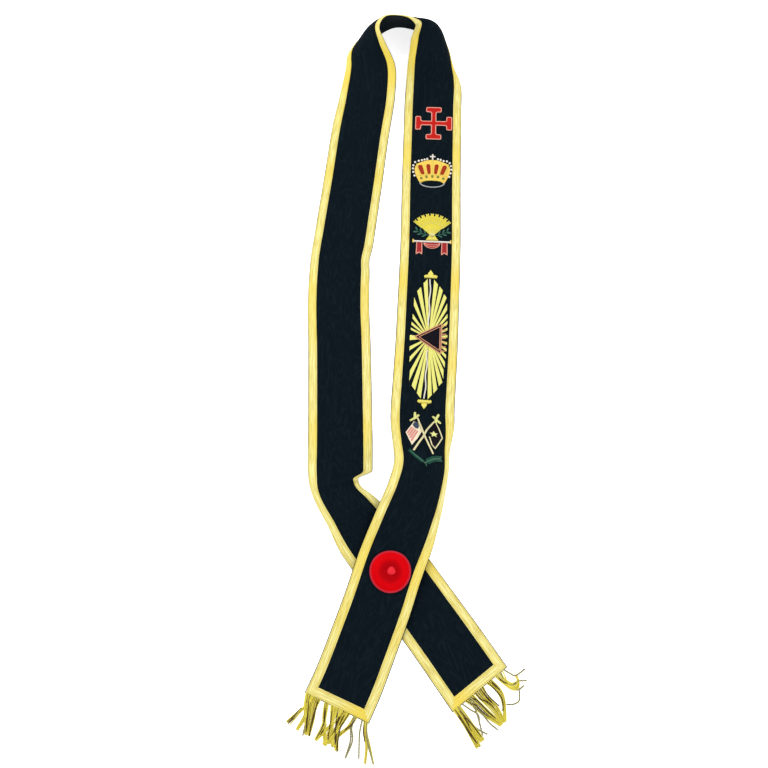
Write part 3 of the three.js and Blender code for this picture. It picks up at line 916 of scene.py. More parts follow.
# Near-black bullion for the fringe's painted shade between strands
SHADED_BULLION = GoldTwist("shaded_bullion", (0.10, 0.055, 0.003), (0.035, 0.016, 0.001),
                           metal=0.0).material()
DULL_BULLION = GoldTwist("dull_bullion", (0.38, 0.36, 0.18), (0.24, 0.22, 0.10)).material()
ROPE = GoldTwist("salmon_rope", (0.84, 0.46, 0.27), (0.46, 0.17, 0.09), metal=0.05).material()
CREAM_CORD = GoldTwist("cream_cord", (0.86, 0.80, 0.52), (0.60, 0.52, 0.25), metal=0.1).material()
WHITE_CORD = GoldTwist("white_cord", (0.86, 0.84, 0.78), (0.60, 0.55, 0.48), metal=0.0).material()
PINK_CORD = GoldTwist("pink_cord", (0.84, 0.42, 0.34), (0.66, 0.22, 0.16), metal=0.0).material()
GREY_CORD = GoldTwist("grey_cord", (0.45, 0.47, 0.48), (0.28, 0.29, 0.29), metal=0.1).material()
GOLD_CORD = GoldTwist("gold_cord", (0.88, 0.66, 0.16), (0.62, 0.38, 0.05), metal=0.25).material()
YELLOW_CORD = GoldTwist("yellow_cord", (0.86, 0.80, 0.22), (0.62, 0.52, 0.05), metal=0.05).material()
ARCH_CORD = GoldTwist("arch_cord", (0.86, 0.74, 0.16), (0.60, 0.44, 0.05), metal=0.1).material()
BOW_CORD = GoldTwist("bow_cord", (0.84, 0.88, 0.42), (0.55, 0.52, 0.12), metal=0.0).material()
RED_THREAD = SatinStitch("red_thread", (0.55, 0.008, 0.004), (0.30, 0.003, 0.002), turn=45).material()
PANEL_THREAD = SatinStitch("panel_thread", (0.36, 0.030, 0.004), (0.20, 0.014, 0.002), turn=80).material()
GOLD_THREAD = SatinStitch("gold_thread", (0.87, 0.62, 0.12), (0.70, 0.42, 0.05), turn=10).material()
YELLOW_THREAD = SatinStitch("yellow_thread", (0.84, 0.74, 0.035), (0.60, 0.48, 0.015), turn=80).material()
CRIMSON_THREAD = SatinStitch("crimson_thread", (0.38, 0.02, 0.022), (0.20, 0.008, 0.010), turn=90).material()
PALE_THREAD = SatinStitch("pale_thread", (0.78, 0.76, 0.22), (0.54, 0.51, 0.09), turn=0).material()
BLACK_THREAD = SatinStitch("black_thread", (0.007, 0.005, 0.010), (0.003, 0.002, 0.004), turn=20,
                           gloss=0.04).material()
CREAM_THREAD = SatinStitch("cream_thread", (0.84, 0.74, 0.56), (0.66, 0.54, 0.38), turn=50).material()
BLUE_THREAD = SatinStitch("blue_thread", (0.045, 0.07, 0.11), (0.02, 0.03, 0.05), turn=50).material()
ROSE_THREAD = SatinStitch("rose_thread", (0.66, 0.27, 0.24), (0.50, 0.15, 0.13), turn=50).material()
GREEN_THREAD = SatinStitch("green_thread", (0.006, 0.075, 0.045), (0.002, 0.030, 0.018), turn=60).material()
LEAF_THREAD = SatinStitch("green_light_thread", (0.055, 0.17, 0.115), (0.02, 0.09, 0.06), turn=60).material()
STEM_THREAD = SatinStitch("sprig_stem", (0.07, 0.16, 0.11), (0.02, 0.08, 0.05), turn=60).material()
STONE_THREAD = SatinStitch("stone_thread", (0.20, 0.27, 0.05), (0.09, 0.14, 0.02), turn=60).material()
# The rosette's shade is painted shade round its middle, and its rim a painted highlight on its rolled rim
ROSETTE_SILK = PleatedSilk("rosette_silk", colour=(0.66, 0.0006, 0.003), shade=(0.40, 0.0004, 0.003),
                           rim=(0.43, 0.032, 0.055)).material()
BUTTON_SILK = SatinStitch("button_silk", (0.80, 0.018, 0.033), (0.56, 0.006, 0.012), turn=30).material()
SEED_BEADS = Glazed("seed_beads", (0.82, 0.80, 0.74)).material()


# Cloth and lace

FACE = LAY.thick
EDGE_SHOW = 1.0
LACE_OUT = LAY.half - EDGE_SHOW
LACE_IN = LACE_OUT - LACE_WIDTH


@dataclass
class Band:
    """A long strip on the ribbon's route, with one cross-section all along."""

    name: str
    slot: str
    section: list[Point]
    start: float
    end: float
    mitre: Laying | None = None
    step: float = 2.5

    def build(self, finish: bpy.types.Material) -> bpy.types.Object:
        """Sweeps the cross-section along the route.

        Args:
            finish: the strip's material.

        Returns:
            The strip.
        """
        draft = Draft()
        section = np.array([*self.section, self.section[0]])
        count = math.ceil((self.end - self.start) / self.step)
        u = np.repeat(np.linspace(self.start, self.end, count + 1)[:, None], len(section), 1)
        if self.mitre is not None:
            cut = self.mitre(section[:, 0])
            u = np.clip(u, self.start + cut, self.end - cut)
        v, h, across = (np.broadcast_to(line, u.shape)
                        for line in (*section.T, np.abs(section[:, 0] - section[0, 0])))
        draft.shell(np.stack([u, v, h], -1), np.stack([across * MM, u * MM], -1))
        draft.close()
        return draft.finish(self.name, LAY.points, finish, self.slot)


@dataclass
class Ribbon:
    """The watered-silk ribbon, two plies thick with soft edges."""

    cells: int = 24
    roundness: float = 0.7
    edge_turns: tuple[float, ...] = (0.6, 1.57, 2.54)

    def build(self) -> bpy.types.Object:
        """Makes the ribbon.

        Returns:
            The ribbon.
        """
        half, thick, r = LAY.half, LAY.thick, self.roundness
        top = [(v, thick) for v in np.linspace(-half + r, half - r, self.cells + 1)]
        under = [(v, 0.0) for v in np.linspace(half - r, -half + r, self.cells // 2 + 1)]
        edge = [(half - r + r * math.sin(a), thick / 2 + thick / 2 * math.cos(a)) for a in self.edge_turns]
        back = [(-v, h) for v, h in reversed(edge)]
        return Band("ribbon", "moire_black", [*top, *edge, *under, *back], 0, LAY.length).build(SILK)


@dataclass
class Lace:
    """Gold lace with corded edges and three flat bands, sewn down along the ribbon."""

    base: float = FACE - 0.05
    height: float = 1.15
    cord: float = 1.0
    cord_foot: float = 0.35
    cord_start: float = 0.02
    cord_round: float = 0.6
    bands: int = 3
    band_drop: float = 0.15
    groove: float = 0.35
    groove_edge: float = 4
    cells: int = 36
    end_cells: int = 40

    def top(self, at: float) -> float:
        """Works out the lace's relief.

        Args:
            at: a place across it, from 0 to 1.

        Returns:
            Its height there.
        """
        mm = at * LACE_WIDTH
        edge = min(mm, LACE_WIDTH - mm)
        if edge < self.cord:
            arch = math.sin(math.pi * max(edge, self.cord_start) / self.cord) ** self.cord_round
            return self.height * (self.cord_foot + (1 - self.cord_foot) * arch)
        band = (LACE_WIDTH - 2 * self.cord) / self.bands
        within = ((edge - self.cord) % band) / band
        return self.height - self.band_drop - self.groove * abs(2 * within - 1) ** self.groove_edge

    def section(self, low: float, high: float) -> list[Point]:
        """Draws the lace's cross-section.

        Args:
            low: where it starts across the ribbon.
            high: where it ends.

        Returns:
            The closed outline, its relief first.
        """
        shares = [k / self.cells for k in range(self.cells + 1)]
        top = [(low + (high - low) * s, self.base + self.top(s)) for s in shares]
        return [*top, (high, self.base), (low, self.base)]

    def edge(self, name: str, side: Side) -> bpy.types.Object:
        """Makes the lace along a long edge, mitred at both ends.

        Args:
            name: name of the piece.
            side: the edge that it follows.

        Returns:
            The lace.
        """
        section = self.section(side.value * LACE_OUT, side.value * LACE_IN)
        return Band(name, "gold_lace", section, EDGE_SHOW, LAY.length - EDGE_SHOW,
                    mitre=lambda v: LACE_OUT - np.abs(v)).build(LACE)

    def end(self, name: str, end: End) -> bpy.types.Object:
        """Makes the lace across a short end, cut to the same mitre.

        Args:
            name: name of the piece.
            end: the end that it follows.

        Returns:
            The lace.
        """
        draft = Draft()
        section = self.section(0, LACE_WIDTH)
        out, h = np.array([*section, section[0]]).T
        v = np.linspace(-1, 1, self.end_cells + 1)[:, None] * (LACE_OUT - out)
        u, h, across = (np.broadcast_to(line, v.shape) for line in (EDGE_SHOW + out, h, out * MM))
        if end is End.BACK:
            u = LAY.length - u
        draft.shell(np.stack([u, v, h], -1), np.stack([across, v * MM], -1))
        draft.close()
        return draft.finish(name, LAY.points, LACE, "gold_lace")


# Fringe

@dataclass(frozen=True)
class Lock:
    """A lock of fringe, charted from the left corner of its end.

    The spans are the two edges of the lock along the end, at its root, at two places on its way out and at
    its tip.
    """

    root: Span
    waist: Span
    knee: Span
    tip: Span
    reach: float
    strands: int

    def strand(self, k: float, inset: float, waist_at: float = 0.28, knee_at: float = 0.58) -> Array:
        """Charts one of its strands.

        Args:
            k: number of the strand, which may be between two.
            inset: how far inside the end it starts.
            waist_at: how far out the waist is, as a share of the reach.
            knee_at: how far out the knee is.

        Returns:
            The places that it passes.
        """
        share = (k + 0.5) / self.strands
        along = [low + (high - low) * share for low, high in (self.root, self.waist, self.knee, self.tip)]
        return np.column_stack([along, [-inset, self.reach * waist_at, self.reach * knee_at, self.reach]])


# The chart of each end: its locks, and the single threads that lie over or beside them; the dark threads are
# painted shade between the strands
Threads = dict[Tone, tuple[tuple[Point, ...], ...]]

FRONT_LOCKS = (
    Lock((9, 13), (7, 11), (1, 6), (-7, 0), 40, 4), Lock((1, 7), (5, 11), (10, 15), (8, 12), 43, 4),
    Lock((7, 23), (10, 23), (15, 26), (19, 28), 43, 8), Lock((27, 34), (31, 37), (38, 43), (47, 52), 45, 4),
    Lock((36, 45), (41, 47), (47, 52), (57, 62), 42, 6), Lock((45, 48), (46, 48), (43, 46), (35, 39), 44, 3),
    Lock((48, 54), (51, 55), (56, 60), (63, 68), 45, 4), Lock((55, 64), (54, 61), (51, 58), (46, 52), 44, 6),
    Lock((68, 74), (66, 71), (60, 65), (51, 55), 41, 4),
    Lock((82, 86), (87, 91), (96, 100), (102, 106), 43, 3),
    Lock((84, 88), (89, 93), (99, 102), (112, 115), 39, 3),
)
FRONT_THREADS: Threads = {
    Tone.BRIGHT: (
        ((41, -1), (43, 10), (46, 22), (48, 35), (50, 45)), ((52, -1), (50, 12), (49, 26), (50, 40)),
        ((3, -1), (6, 11), (12, 22), (17, 34), (22, 42)), ((59, -1), (58, 12), (56, 24), (54, 36)),
        ((30, -1), (34, 12), (36, 26), (35, 44)), ((33, -1), (37, 12), (39, 26), (38, 44)),
    ),
    # Dark threads over the locks: painted shade between strands
    Tone.DARK: (
        ((8, -1), (9, 7), (12, 15), (16, 26), (21, 40)), ((20, -1), (21, 12), (24, 28), (27, 42)),
        ((30, -1), (33, 9), (38, 22), (42, 30)), ((39, -1), (43, 12), (47, 26), (51, 36)),
        ((47, -1), (48, 6), (51, 14), (56, 26), (61, 39)), ((55, -1), (53, 12), (53, 24), (50, 36)),
        ((62, -1), (60, 12), (59, 20), (62, 32), (66, 44)), ((73, -1), (70, 10), (65, 18)),
        ((84, -1), (87, 10), (93, 20)), ((4, 18), (0, 28), (-3, 40)),
        ((31, -1), (35, 12), (38, 25), (37, 42)), ((58, -1), (57, 10), (57, 18)),
        ((45, 23), (48, 31), (51, 38)), ((41, 22), (40, 30), (39, 38)), ((55, 19), (58, 28), (61, 38)),
        ((52, 8), (53, 16), (53, 25)), ((19, 2), (22, 16), (25, 34)),
    ),
    Tone.DULL: (
        ((14, 24), (17, 34), (20, 45)), ((69, -1), (71, 13), (77, 27), (79, 47)),
        ((80, -1), (83, 12), (88, 25), (95, 42)), ((71, -1), (72, 13), (79, 27), (80, 46)),
        ((86, -1), (93, 14), (103, 27), (113, 39)),
    ),
}
BACK_LOCKS = (
    Lock((2, 8), (1, 8), (0, 7), (-3, 5), 51, 5), Lock((6, 13), (6, 13), (5, 13), (6, 13), 48, 6),
    Lock((20, 35), (25, 37), (28, 39), (37, 43), 48, 6), Lock((35, 52), (37, 49), (39, 51), (42, 48), 47, 6),
    Lock((55, 65), (59, 67), (57, 64), (45, 49), 48, 4),
)
BACK_THREADS: Threads = {
    Tone.BRIGHT: (
        ((71, -1), (73, 10), (77, 21), (84, 27), (90, 23), (93, 15)),
        ((73, -1), (75, 10), (78, 18), (84, 24), (90, 21), (92, 14)),
        ((76, -1), (77, 9), (79, 16), (84, 21), (89, 20), (91, 15)),
        ((79, -1), (78, 8), (79, 14), (83, 19), (88, 20)), ((82, -1), (80, 6), (79, 12), (81, 17), (86, 22)),
        ((70, -1), (72, 10), (76, 22), (82, 28), (88, 26)), ((74, -1), (75, 9), (77, 18), (83, 25), (90, 22)),
        ((72, -1), (74, 11), (78, 21), (83, 27), (89, 24)),
        ((77, -1), (76, 10), (78, 18), (83, 23), (90, 21)),
    ),
    # Dark threads over the locks: painted shade between strands
    Tone.DARK: (
        ((5, -1), (4, 18), (2, 32), (3, 47)), ((9, -1), (10, 16), (11, 32), (12, 43)),
        ((22, -1), (28, 11), (31, 22), (33, 33)), ((30, -1), (34, 9), (36, 24), (39, 38)),
        ((37, -1), (38, 8), (43, 17), (47, 34)), ((45, -1), (46, 14), (47, 24)),
        ((49, -1), (49, 14), (52, 30)), ((58, -1), (60, 12), (61, 22), (57, 31), (52, 37)),
        ((62, -1), (63, 9), (65, 15)), ((71, -1), (74, 10), (78, 17)), ((79, 16), (83, 20), (89, 22)),
        ((3, 8), (3, 24), (2, 40)), ((8, 4), (8, 18), (6, 32)),
    ),
    Tone.DULL: (
        ((27, -1), (26, 12), (21, 25), (14, 43)), ((16, -1), (20, 10), (24, 22), (19, 32)),
        ((10, -1), (11, 15), (13, 32), (19, 46)), ((30, -1), (29, 20), (30, 38), (33, 50)),
        ((78, -1), (77, 12), (80, 24), (84, 30), (92, 30)),
        ((72, -1), (75, 10), (78, 18), (84, 22), (90, 22), (99, 27)),
        ((84, -1), (87, 7), (90, 13), (95, 15), (106, 15)),
        ((79, -1), (77, 12), (80, 24), (84, 30), (80, 37), (75, 40), (68, 38), (61, 34)),
    ),
}
# The dark threads of painted shade lie highest, so that they show as dark lines over the strands
THREAD_LAYER = {Tone.BRIGHT: 2.0, Tone.DARK: 2.4, Tone.DULL: 1.5}
THREAD_SIZE = {Tone.BRIGHT: 1.1, Tone.DARK: 1.05, Tone.DULL: 1.4}


@dataclass
class Fringe:
    """Bullion fringe: hairpins of twisted gold thread, fallen into locks that cross, with a few strays."""

    end: End
    locks: Sequence[Lock]
    threads: Threads
    seed: int
    ply: float = 0.47
    ply_play: Span = (0.9, 1.08)
    shaded_ply: float = 0.75
    shaded_drop: float = 0.4
    apart: float = 0.92
    tip: float = 1.6
    pitch: float = 4.2
    points_per_turn: int = 7
    sides: int = 5
    inset: float = 1.0
    layer: float = 1.1
    loose: Span = (0.5, 0.9)
    root_fall: int = 6
    arch: float = 0.8
    rng: random.Random = field(init=False)
    left: Array = field(init=False)
    along: Array = field(init=False)
    out: Array = field(init=False)

    def __post_init__(self) -> None:
        """Seeds the fringe's own draw of small differences, and finds its end of the ribbon."""
        self.rng = random.Random(self.seed)
        u, left_side = (0.0, 1) if self.end is End.FRONT else (LAY.length, -1)
        self.left, right = LAY.points(np.array([[u, left_side * LAY.half, 0], [u, -left_side * LAY.half, 0]]))
        self.left[2] = right[2] = 0
        self.along = (right - self.left) / np.linalg.norm(right - self.left)
        self.out = np.array([self.along[1], -self.along[0], 0.0])

    def place(self, spots: Array) -> Array:
        """Lays points of the end's chart, along the end, out of it and up, in the object's frame."""
        return self.left + spots[:, :1] * self.along + spots[:, 1:2] * self.out + spots[:, 2:] * UP

    def middle_line(self, chart: Array, layer: float) -> Array:
        """Draws the middle line of one strand.

        Args:
            chart: the places that it passes, along the end and out of it.
            layer: how many strands it lies above the ground.

        Returns:
            Points at even distances.
        """
        aside, out = self.loose
        loose = np.array([[self.rng.uniform(-aside, aside), self.rng.uniform(-out, out)] for _ in chart])
        loose[0] = 0
        plan = smooth_line(chart + loose, self.pitch / self.points_per_turn)
        s = np.linspace(0, 1, len(plan))
        over = layer * self.layer * np.sin(s * math.pi * self.arch) ** 2
        return np.column_stack([plan, FACE * (1 - s) ** self.root_fall + 2 * self.ply + over])

    def hairpin(self, draft: Draft, middle: Array, size: float) -> None:
        """Twists a thread down a path and back up beside itself.

        Args:
            draft: mesh to add to.
            middle: middle line of the pair.
            size: radius of the thread.
        """
        way, side, over = crossways(middle)
        turn = np.arange(len(middle)) * 2 * math.pi / self.points_per_turn + self.rng.uniform(0, 6)
        offset = (side * np.cos(turn)[:, None] + over * np.sin(turn)[:, None]) * size * self.apart
        tip = middle[-1] + way[-1] * size * self.tip
        draft.tube(np.vstack([middle + offset, tip[None], (middle - offset)[::-1]]), size, self.sides)

    def build(self, name: str, node: str) -> Pieces:
        """Makes the whole fringe of one end.

        Args:
            name: name of its locks; its other pieces have names made from it.
            node: the plain solid that it stands for.

        Returns:
            The locks, the strays and the dark threads that paint the shade between strands.
        """
        drafts = {tone: Draft() for tone in Tone}
        for n, lock in enumerate(self.locks):
            for k in range(lock.strands):
                path = self.middle_line(lock.strand(k, self.inset), k % 2 + n % 2)
                self.hairpin(drafts[Tone.BRIGHT], path, self.ply * self.rng.uniform(*self.ply_play))
            # A dark thread between each two strands of a lock paints the shade in the gap
            for k in range(lock.strands - 1):
                path = self.middle_line(lock.strand(k + 0.5, self.inset), 0)
                self.hairpin(drafts[Tone.DARK], path - UP * self.ply * self.shaded_drop,
                             self.ply * self.shaded_ply)
        for tone, lines in self.threads.items():
            for line in lines:
                path = self.middle_line(np.array(line, dtype=float), THREAD_LAYER[tone])
                self.hairpin(drafts[tone], path, self.ply * THREAD_SIZE[tone])
        ends = ((Tone.BRIGHT, "", BULLION), (Tone.DULL, "_strays", DULL_BULLION),
                (Tone.DARK, "_shade", SHADED_BULLION))
        pieces = [drafts[tone].finish(name + ending, self.place, finish, "gold_bullion", crease=180)
                  for tone, ending, finish in ends]
        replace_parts(pieces[0], node)
        return pieces


# Figures on the ribbon

@dataclass(frozen=True)
class Place:
    """Where a figure lies: a plan point of the route and how far towards the outer edge.

    Figures are drawn with x towards the outer edge, y up the strand and z above the ribbon's face.
    """

    x: float
    y: float
    across: float
    lift: float = 0.0

    def __call__(self, spots: Array) -> Array:
        """Lays drawing points on the ribbon."""
        u, face = LAY.length_at(self.x, self.y), FACE + self.lift
        return LAY.points(np.column_stack([u + spots[:, 1], -self.across - spots[:, 0], face + spots[:, 2]]))


@dataclass
class Layer:
    """One piece of a figure: its mesh, its dress and the plain solids that it stands for."""

    name: str
    finish: bpy.types.Material
    slot: str
    nodes: tuple[str, ...]
    draft: Draft = field(default_factory=Draft)


@dataclass
class Figure:
    """Something embroidered on the ribbon, as layers that are each one piece."""

    place: Place
    crease: float = 75.0
    layers: list[Layer] = field(default_factory=list)

    def layer(self, name: str, finish: bpy.types.Material, slot: str, *nodes: str) -> Draft:
        """Starts one layer of the figure.

        Args:
            name: name of the piece.
            finish: its material.
            slot: the record's slot that goes with its finish; kept with the layer but not used.
            nodes: the plain solids that it stands for.

        Returns:
            Its empty mesh.
        """
        self.layers.append(Layer(name, finish, slot, nodes))
        return self.layers[-1].draft

    def cord(self, draft: Draft, corners: Sequence[Point], radius: float | Sequence[float], height: float,
             step: float = 1.5, sides: int = 6) -> None:
        """Adds a cord that follows corners.

        Args:
            draft: mesh to add to.
            corners: the corners of its way.
            radius: its radius, or a few radii from its start to its end.
            height: height of its middle above the face.
            step: longest stretch between its sections.
            sides: faces round it.
        """
        path = np.array(stepped_path(corners, step))
        if not np.isscalar(radius):
            radius = np.interp(np.linspace(0, 1, len(path)), np.linspace(0, 1, len(radius)), radius)
        draft.tube(np.column_stack([path, np.full(len(path), height)]), radius, sides)

    def done(self) -> Pieces:
        """Finishes the layers in order, and hides the plain solids that they stand for.

        Returns:
            One piece for each layer.
        """
        pieces = []
        for layer in self.layers:
            piece = layer.draft.finish(layer.name, self.place, layer.finish, layer.slot, self.crease)
            if layer.nodes:
                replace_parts(piece, *layer.nodes)
            pieces.append(piece)
        return pieces


@dataclass
class Rosette(Figure):
    """Round rosette of pleated ribbon with a rolled rim and a covered button."""

    radius: float = 27.3
    rim: float = 3.4
    roll: float = 1.6
    rise: float = 6.6
    hub: float = 7.5
    pleats: int = 36
    fold: float = 0.3
    petals: int = 7
    petal_fold: float = 0.35
    dish: float = 0.9
    button: float = 5.4
    button_at: Point = (1.3, 1.2)
    button_rise: float = 3.0
    button_wall: float = 0.6
    button_dents: int = 3
    button_dent: float = 0.07
    button_sides: int = 40

    def disc(self, draft: Draft) -> None:
        """Spins the profile of the disc and folds its pleats.

        Args:
            draft: mesh to add to.
        """
        r = self.radius
        roll = arc(r - self.roll, self.rim - 1.4, self.roll, self.roll, -60, 110, 8)
        face = [(r - 3.4, self.rim + 0.5), (r * 0.8, self.rise * 0.86), (r * 0.62, self.rise * 0.97),
                (r * 0.45, self.rise), (r * 0.34, self.rise - 0.25), (self.hub, self.rise - 0.8),
                (self.hub * 0.6, self.rise - self.dish), (0, self.rise - self.dish)]
        reach, height = np.array([(0, 0), (r * 0.5, 0), (r - 1.5, 0), *roll, *face]).T
        turn = np.linspace(0, 2 * math.pi, 4 * self.pleats + 1)
        inner = np.clip((reach - self.hub) / (r - self.hub), 0, 1)
        depth = np.where(height > self.rim, self.fold * (1.15 - inner) * (reach > self.hub * 0.8), 0)
        wave = np.abs((turn * self.pleats / math.pi) % 2 - 1) * 2 - 1
        petals = np.cos(turn * self.petals) * self.petal_fold
        near = np.exp(-(((reach - self.hub * 1.25) / 3.2) ** 2)) * (height > self.rim)
        z = height[None] + depth[None] * wave[:, None] + near[None] * petals[:, None]
        points = np.stack([reach * np.cos(turn)[:, None], reach * np.sin(turn)[:, None], z], -1)
        draft.shell(points, np.stack(np.broadcast_arrays(turn[:, None] * r / 2 * MM, reach[None] * MM), -1))

    def knob(self, draft: Draft) -> None:
        """Spins the covered button.

        Args:
            draft: mesh to add to.
        """
        base, r = self.rise - self.dish - 0.1, self.button
        dome = arc(0, base + self.button_wall, r, self.button_rise - self.button_wall, 0, 90, 9)
        reach, height = np.array([(0, base), (r * 0.9, base), *dome]).T
        turn = np.linspace(0, 2 * math.pi, self.button_sides + 1)
        dented = 1 + self.button_dent * np.cos(turn * self.button_dents + 0.6)
        x, y = (reach * (wave * dented)[:, None] + middle
                for wave, middle in zip((np.cos(turn), np.sin(turn)), self.button_at))
        points = np.stack([x, y, np.broadcast_to(height, x.shape)], -1)
        draft.shell(points, points[..., :2] * MM)

    def build(self) -> Pieces:
        """Makes the rosette.

        Returns:
            Its disc and its button.
        """
        self.disc(self.layer("rosette", ROSETTE_SILK, "rosette_red", "rosette_disc", "rosette_button"))
        self.knob(self.layer("rosette_knob", BUTTON_SILK, "button_red"))
        return self.done()


@dataclass
class Cross(Figure):
    """Cross with a bar across each arm, red with a pale corded outline."""

    stem: float = 3.4
    cap: float = 11.5
    reach: float = 28.3
    cap_deep: float = 7.8

    def outline(self, inset: float) -> list[Point]:
        """Draws the cross.

        Args:
            inset: how far inside its edge.

        Returns:
            Its outline.
        """
        s, c, r = self.stem - inset, self.cap - inset, self.reach - inset
        d = self.reach - self.cap_deep + inset
        arm = [(s, s), (s, d - 2.4), (s + 1.8, d - 0.3), (c - 0.8, d), (c, d + 1), (c, r - 1), (c - 0.8, r)]
        arm += [(-x, y) for x, y in reversed(arm[1:])]
        return [(x * a - y * b, x * b + y * a) for a, b in ((1, 0), (0, 1), (-1, 0), (0, -1)) for x, y in arm]

    def build(self) -> Pieces:
        """Makes the cross.

        Returns:
            Its layers.
        """
        ground = self.layer("cross_field", RED_THREAD, "thread_red", "cross_motif")
        border = self.layer("cross_border", PINK_CORD, "thread_cream")
        ground.patch(self.outline(0.4), rise=0.75, edge=0.9)
        edge = self.outline(0.1)
        self.cord(border, [*edge, edge[0]], radius=0.85, height=0.55)
        return self.done()


@dataclass
class Crown(Figure):
    """Crown with arches, red panels, a jewelled band, and seed beads round it."""

    half: tuple[Point, ...] = (
        (0, 20.5), (4, 19.8), (8.5, 19.4), (13, 17.8), (18, 15.8), (23.5, 13), (26.5, 8.5), (27.4, 3),
        (26.3, -4), (23.5, -11), (19.8, -18), (18.2, -20.3), (13, -17.3), (7, -15.7), (0, -15.1))
    stones: tuple[Point, ...] = ((-16.9, -12.4), (-9, -9.9), (0, -9.1), (8.6, -9.7), (16.9, -12.2))
    seeds: tuple[Point, ...] = (
        (-26.9, 14.6), (-29.4, 9), (-30.0, 3.5), (-29.2, -2.5), (-27.2, -8.7), (26.3, 14.6), (28.3, 9.4),
        (28.9, 3.3), (28.0, -3), (25.9, -9.1), (-21.3, 17.0), (-16.5, 18.3), (-12.4, 19.6), (-8.3, 20.6),
        (8.2, 20.8), (12.4, 19.9), (17, 17.9), (22.0, 17.6))

    def build(self) -> Pieces:
        """Makes the crown.

        Returns:
            Its layers.
        """
        body = self.layer("crown_body", GOLD_THREAD, "thread_gold", "crown_motif")
        arches = self.layer("crown_arches", ARCH_CORD, "thread_gold")
        panels = self.layer("crown_panels", PANEL_THREAD, "thread_crimson")
        rim = self.layer("crown_rim", GREY_CORD, "thread_cream")
        stones = self.layer("crown_stones", STONE_THREAD, "thread_green")
        seeds = self.layer("crown_seeds", SEED_BEADS, "thread_cream")
        cross = self.layer("crown_cross", WHITE_CORD, "thread_cream")
        body.patch(mirrored(self.half), rise=0.7, edge=0.9)
        for side in (-1, 1):
            outer = capsule((side * 18.7, 7.6), (side * 14.8, -3.6), 3.5, 2.8)
            inner = capsule((side * 6.4, 9.4), (side * 5.0, -2.4), 3.3, 2.5)
            for panel in (outer, inner):
                panels.patch(panel, rise=0.75, edge=0.8, base=0.35)
            for foot, crest in ((10.2, 12.9), (19.6, 24.2)):
                bow = [(side * foot, -5), (side * (foot + crest) / 2 * 1.02, 4), (side * crest, 12.2)]
                self.cord(arches, bow, radius=1.15, height=0.75)
        self.cord(arches, [(0, -4.5), (0, 19)], radius=1.0, height=0.7)
        band_top = [(-22.2, -8), *arc(0, -38, 60, 32.5, 110, 70, 9), (22.2, -8)]
        band_foot = [(-18.5, -17.5), *arc(0, -36, 40, 20.8, 115, 65, 9), (18.5, -17.5)]
        for line in (band_top, band_foot):
            self.cord(arches, line, radius=0.9, height=0.75)
        self.cord(rim, arc(0, -19.5, 18.6, 7.6, 180, 360, 25), radius=1.0, height=0.6)
        for x, y in self.stones:
            stones.bead(x, y, radius=2.0, base=0.45, flat=0.6)
        for x, y in self.seeds:
            seeds.bead(x, y, radius=1.8, base=0.05, flat=0.8)
        self.cord(cross, [(0, 19.5), (0, 29.6)], radius=1.2, height=0.75)
        self.cord(cross, [(-4.2, 25.6), (4.2, 25.6)], radius=1.25, height=0.75)
        return self.done()


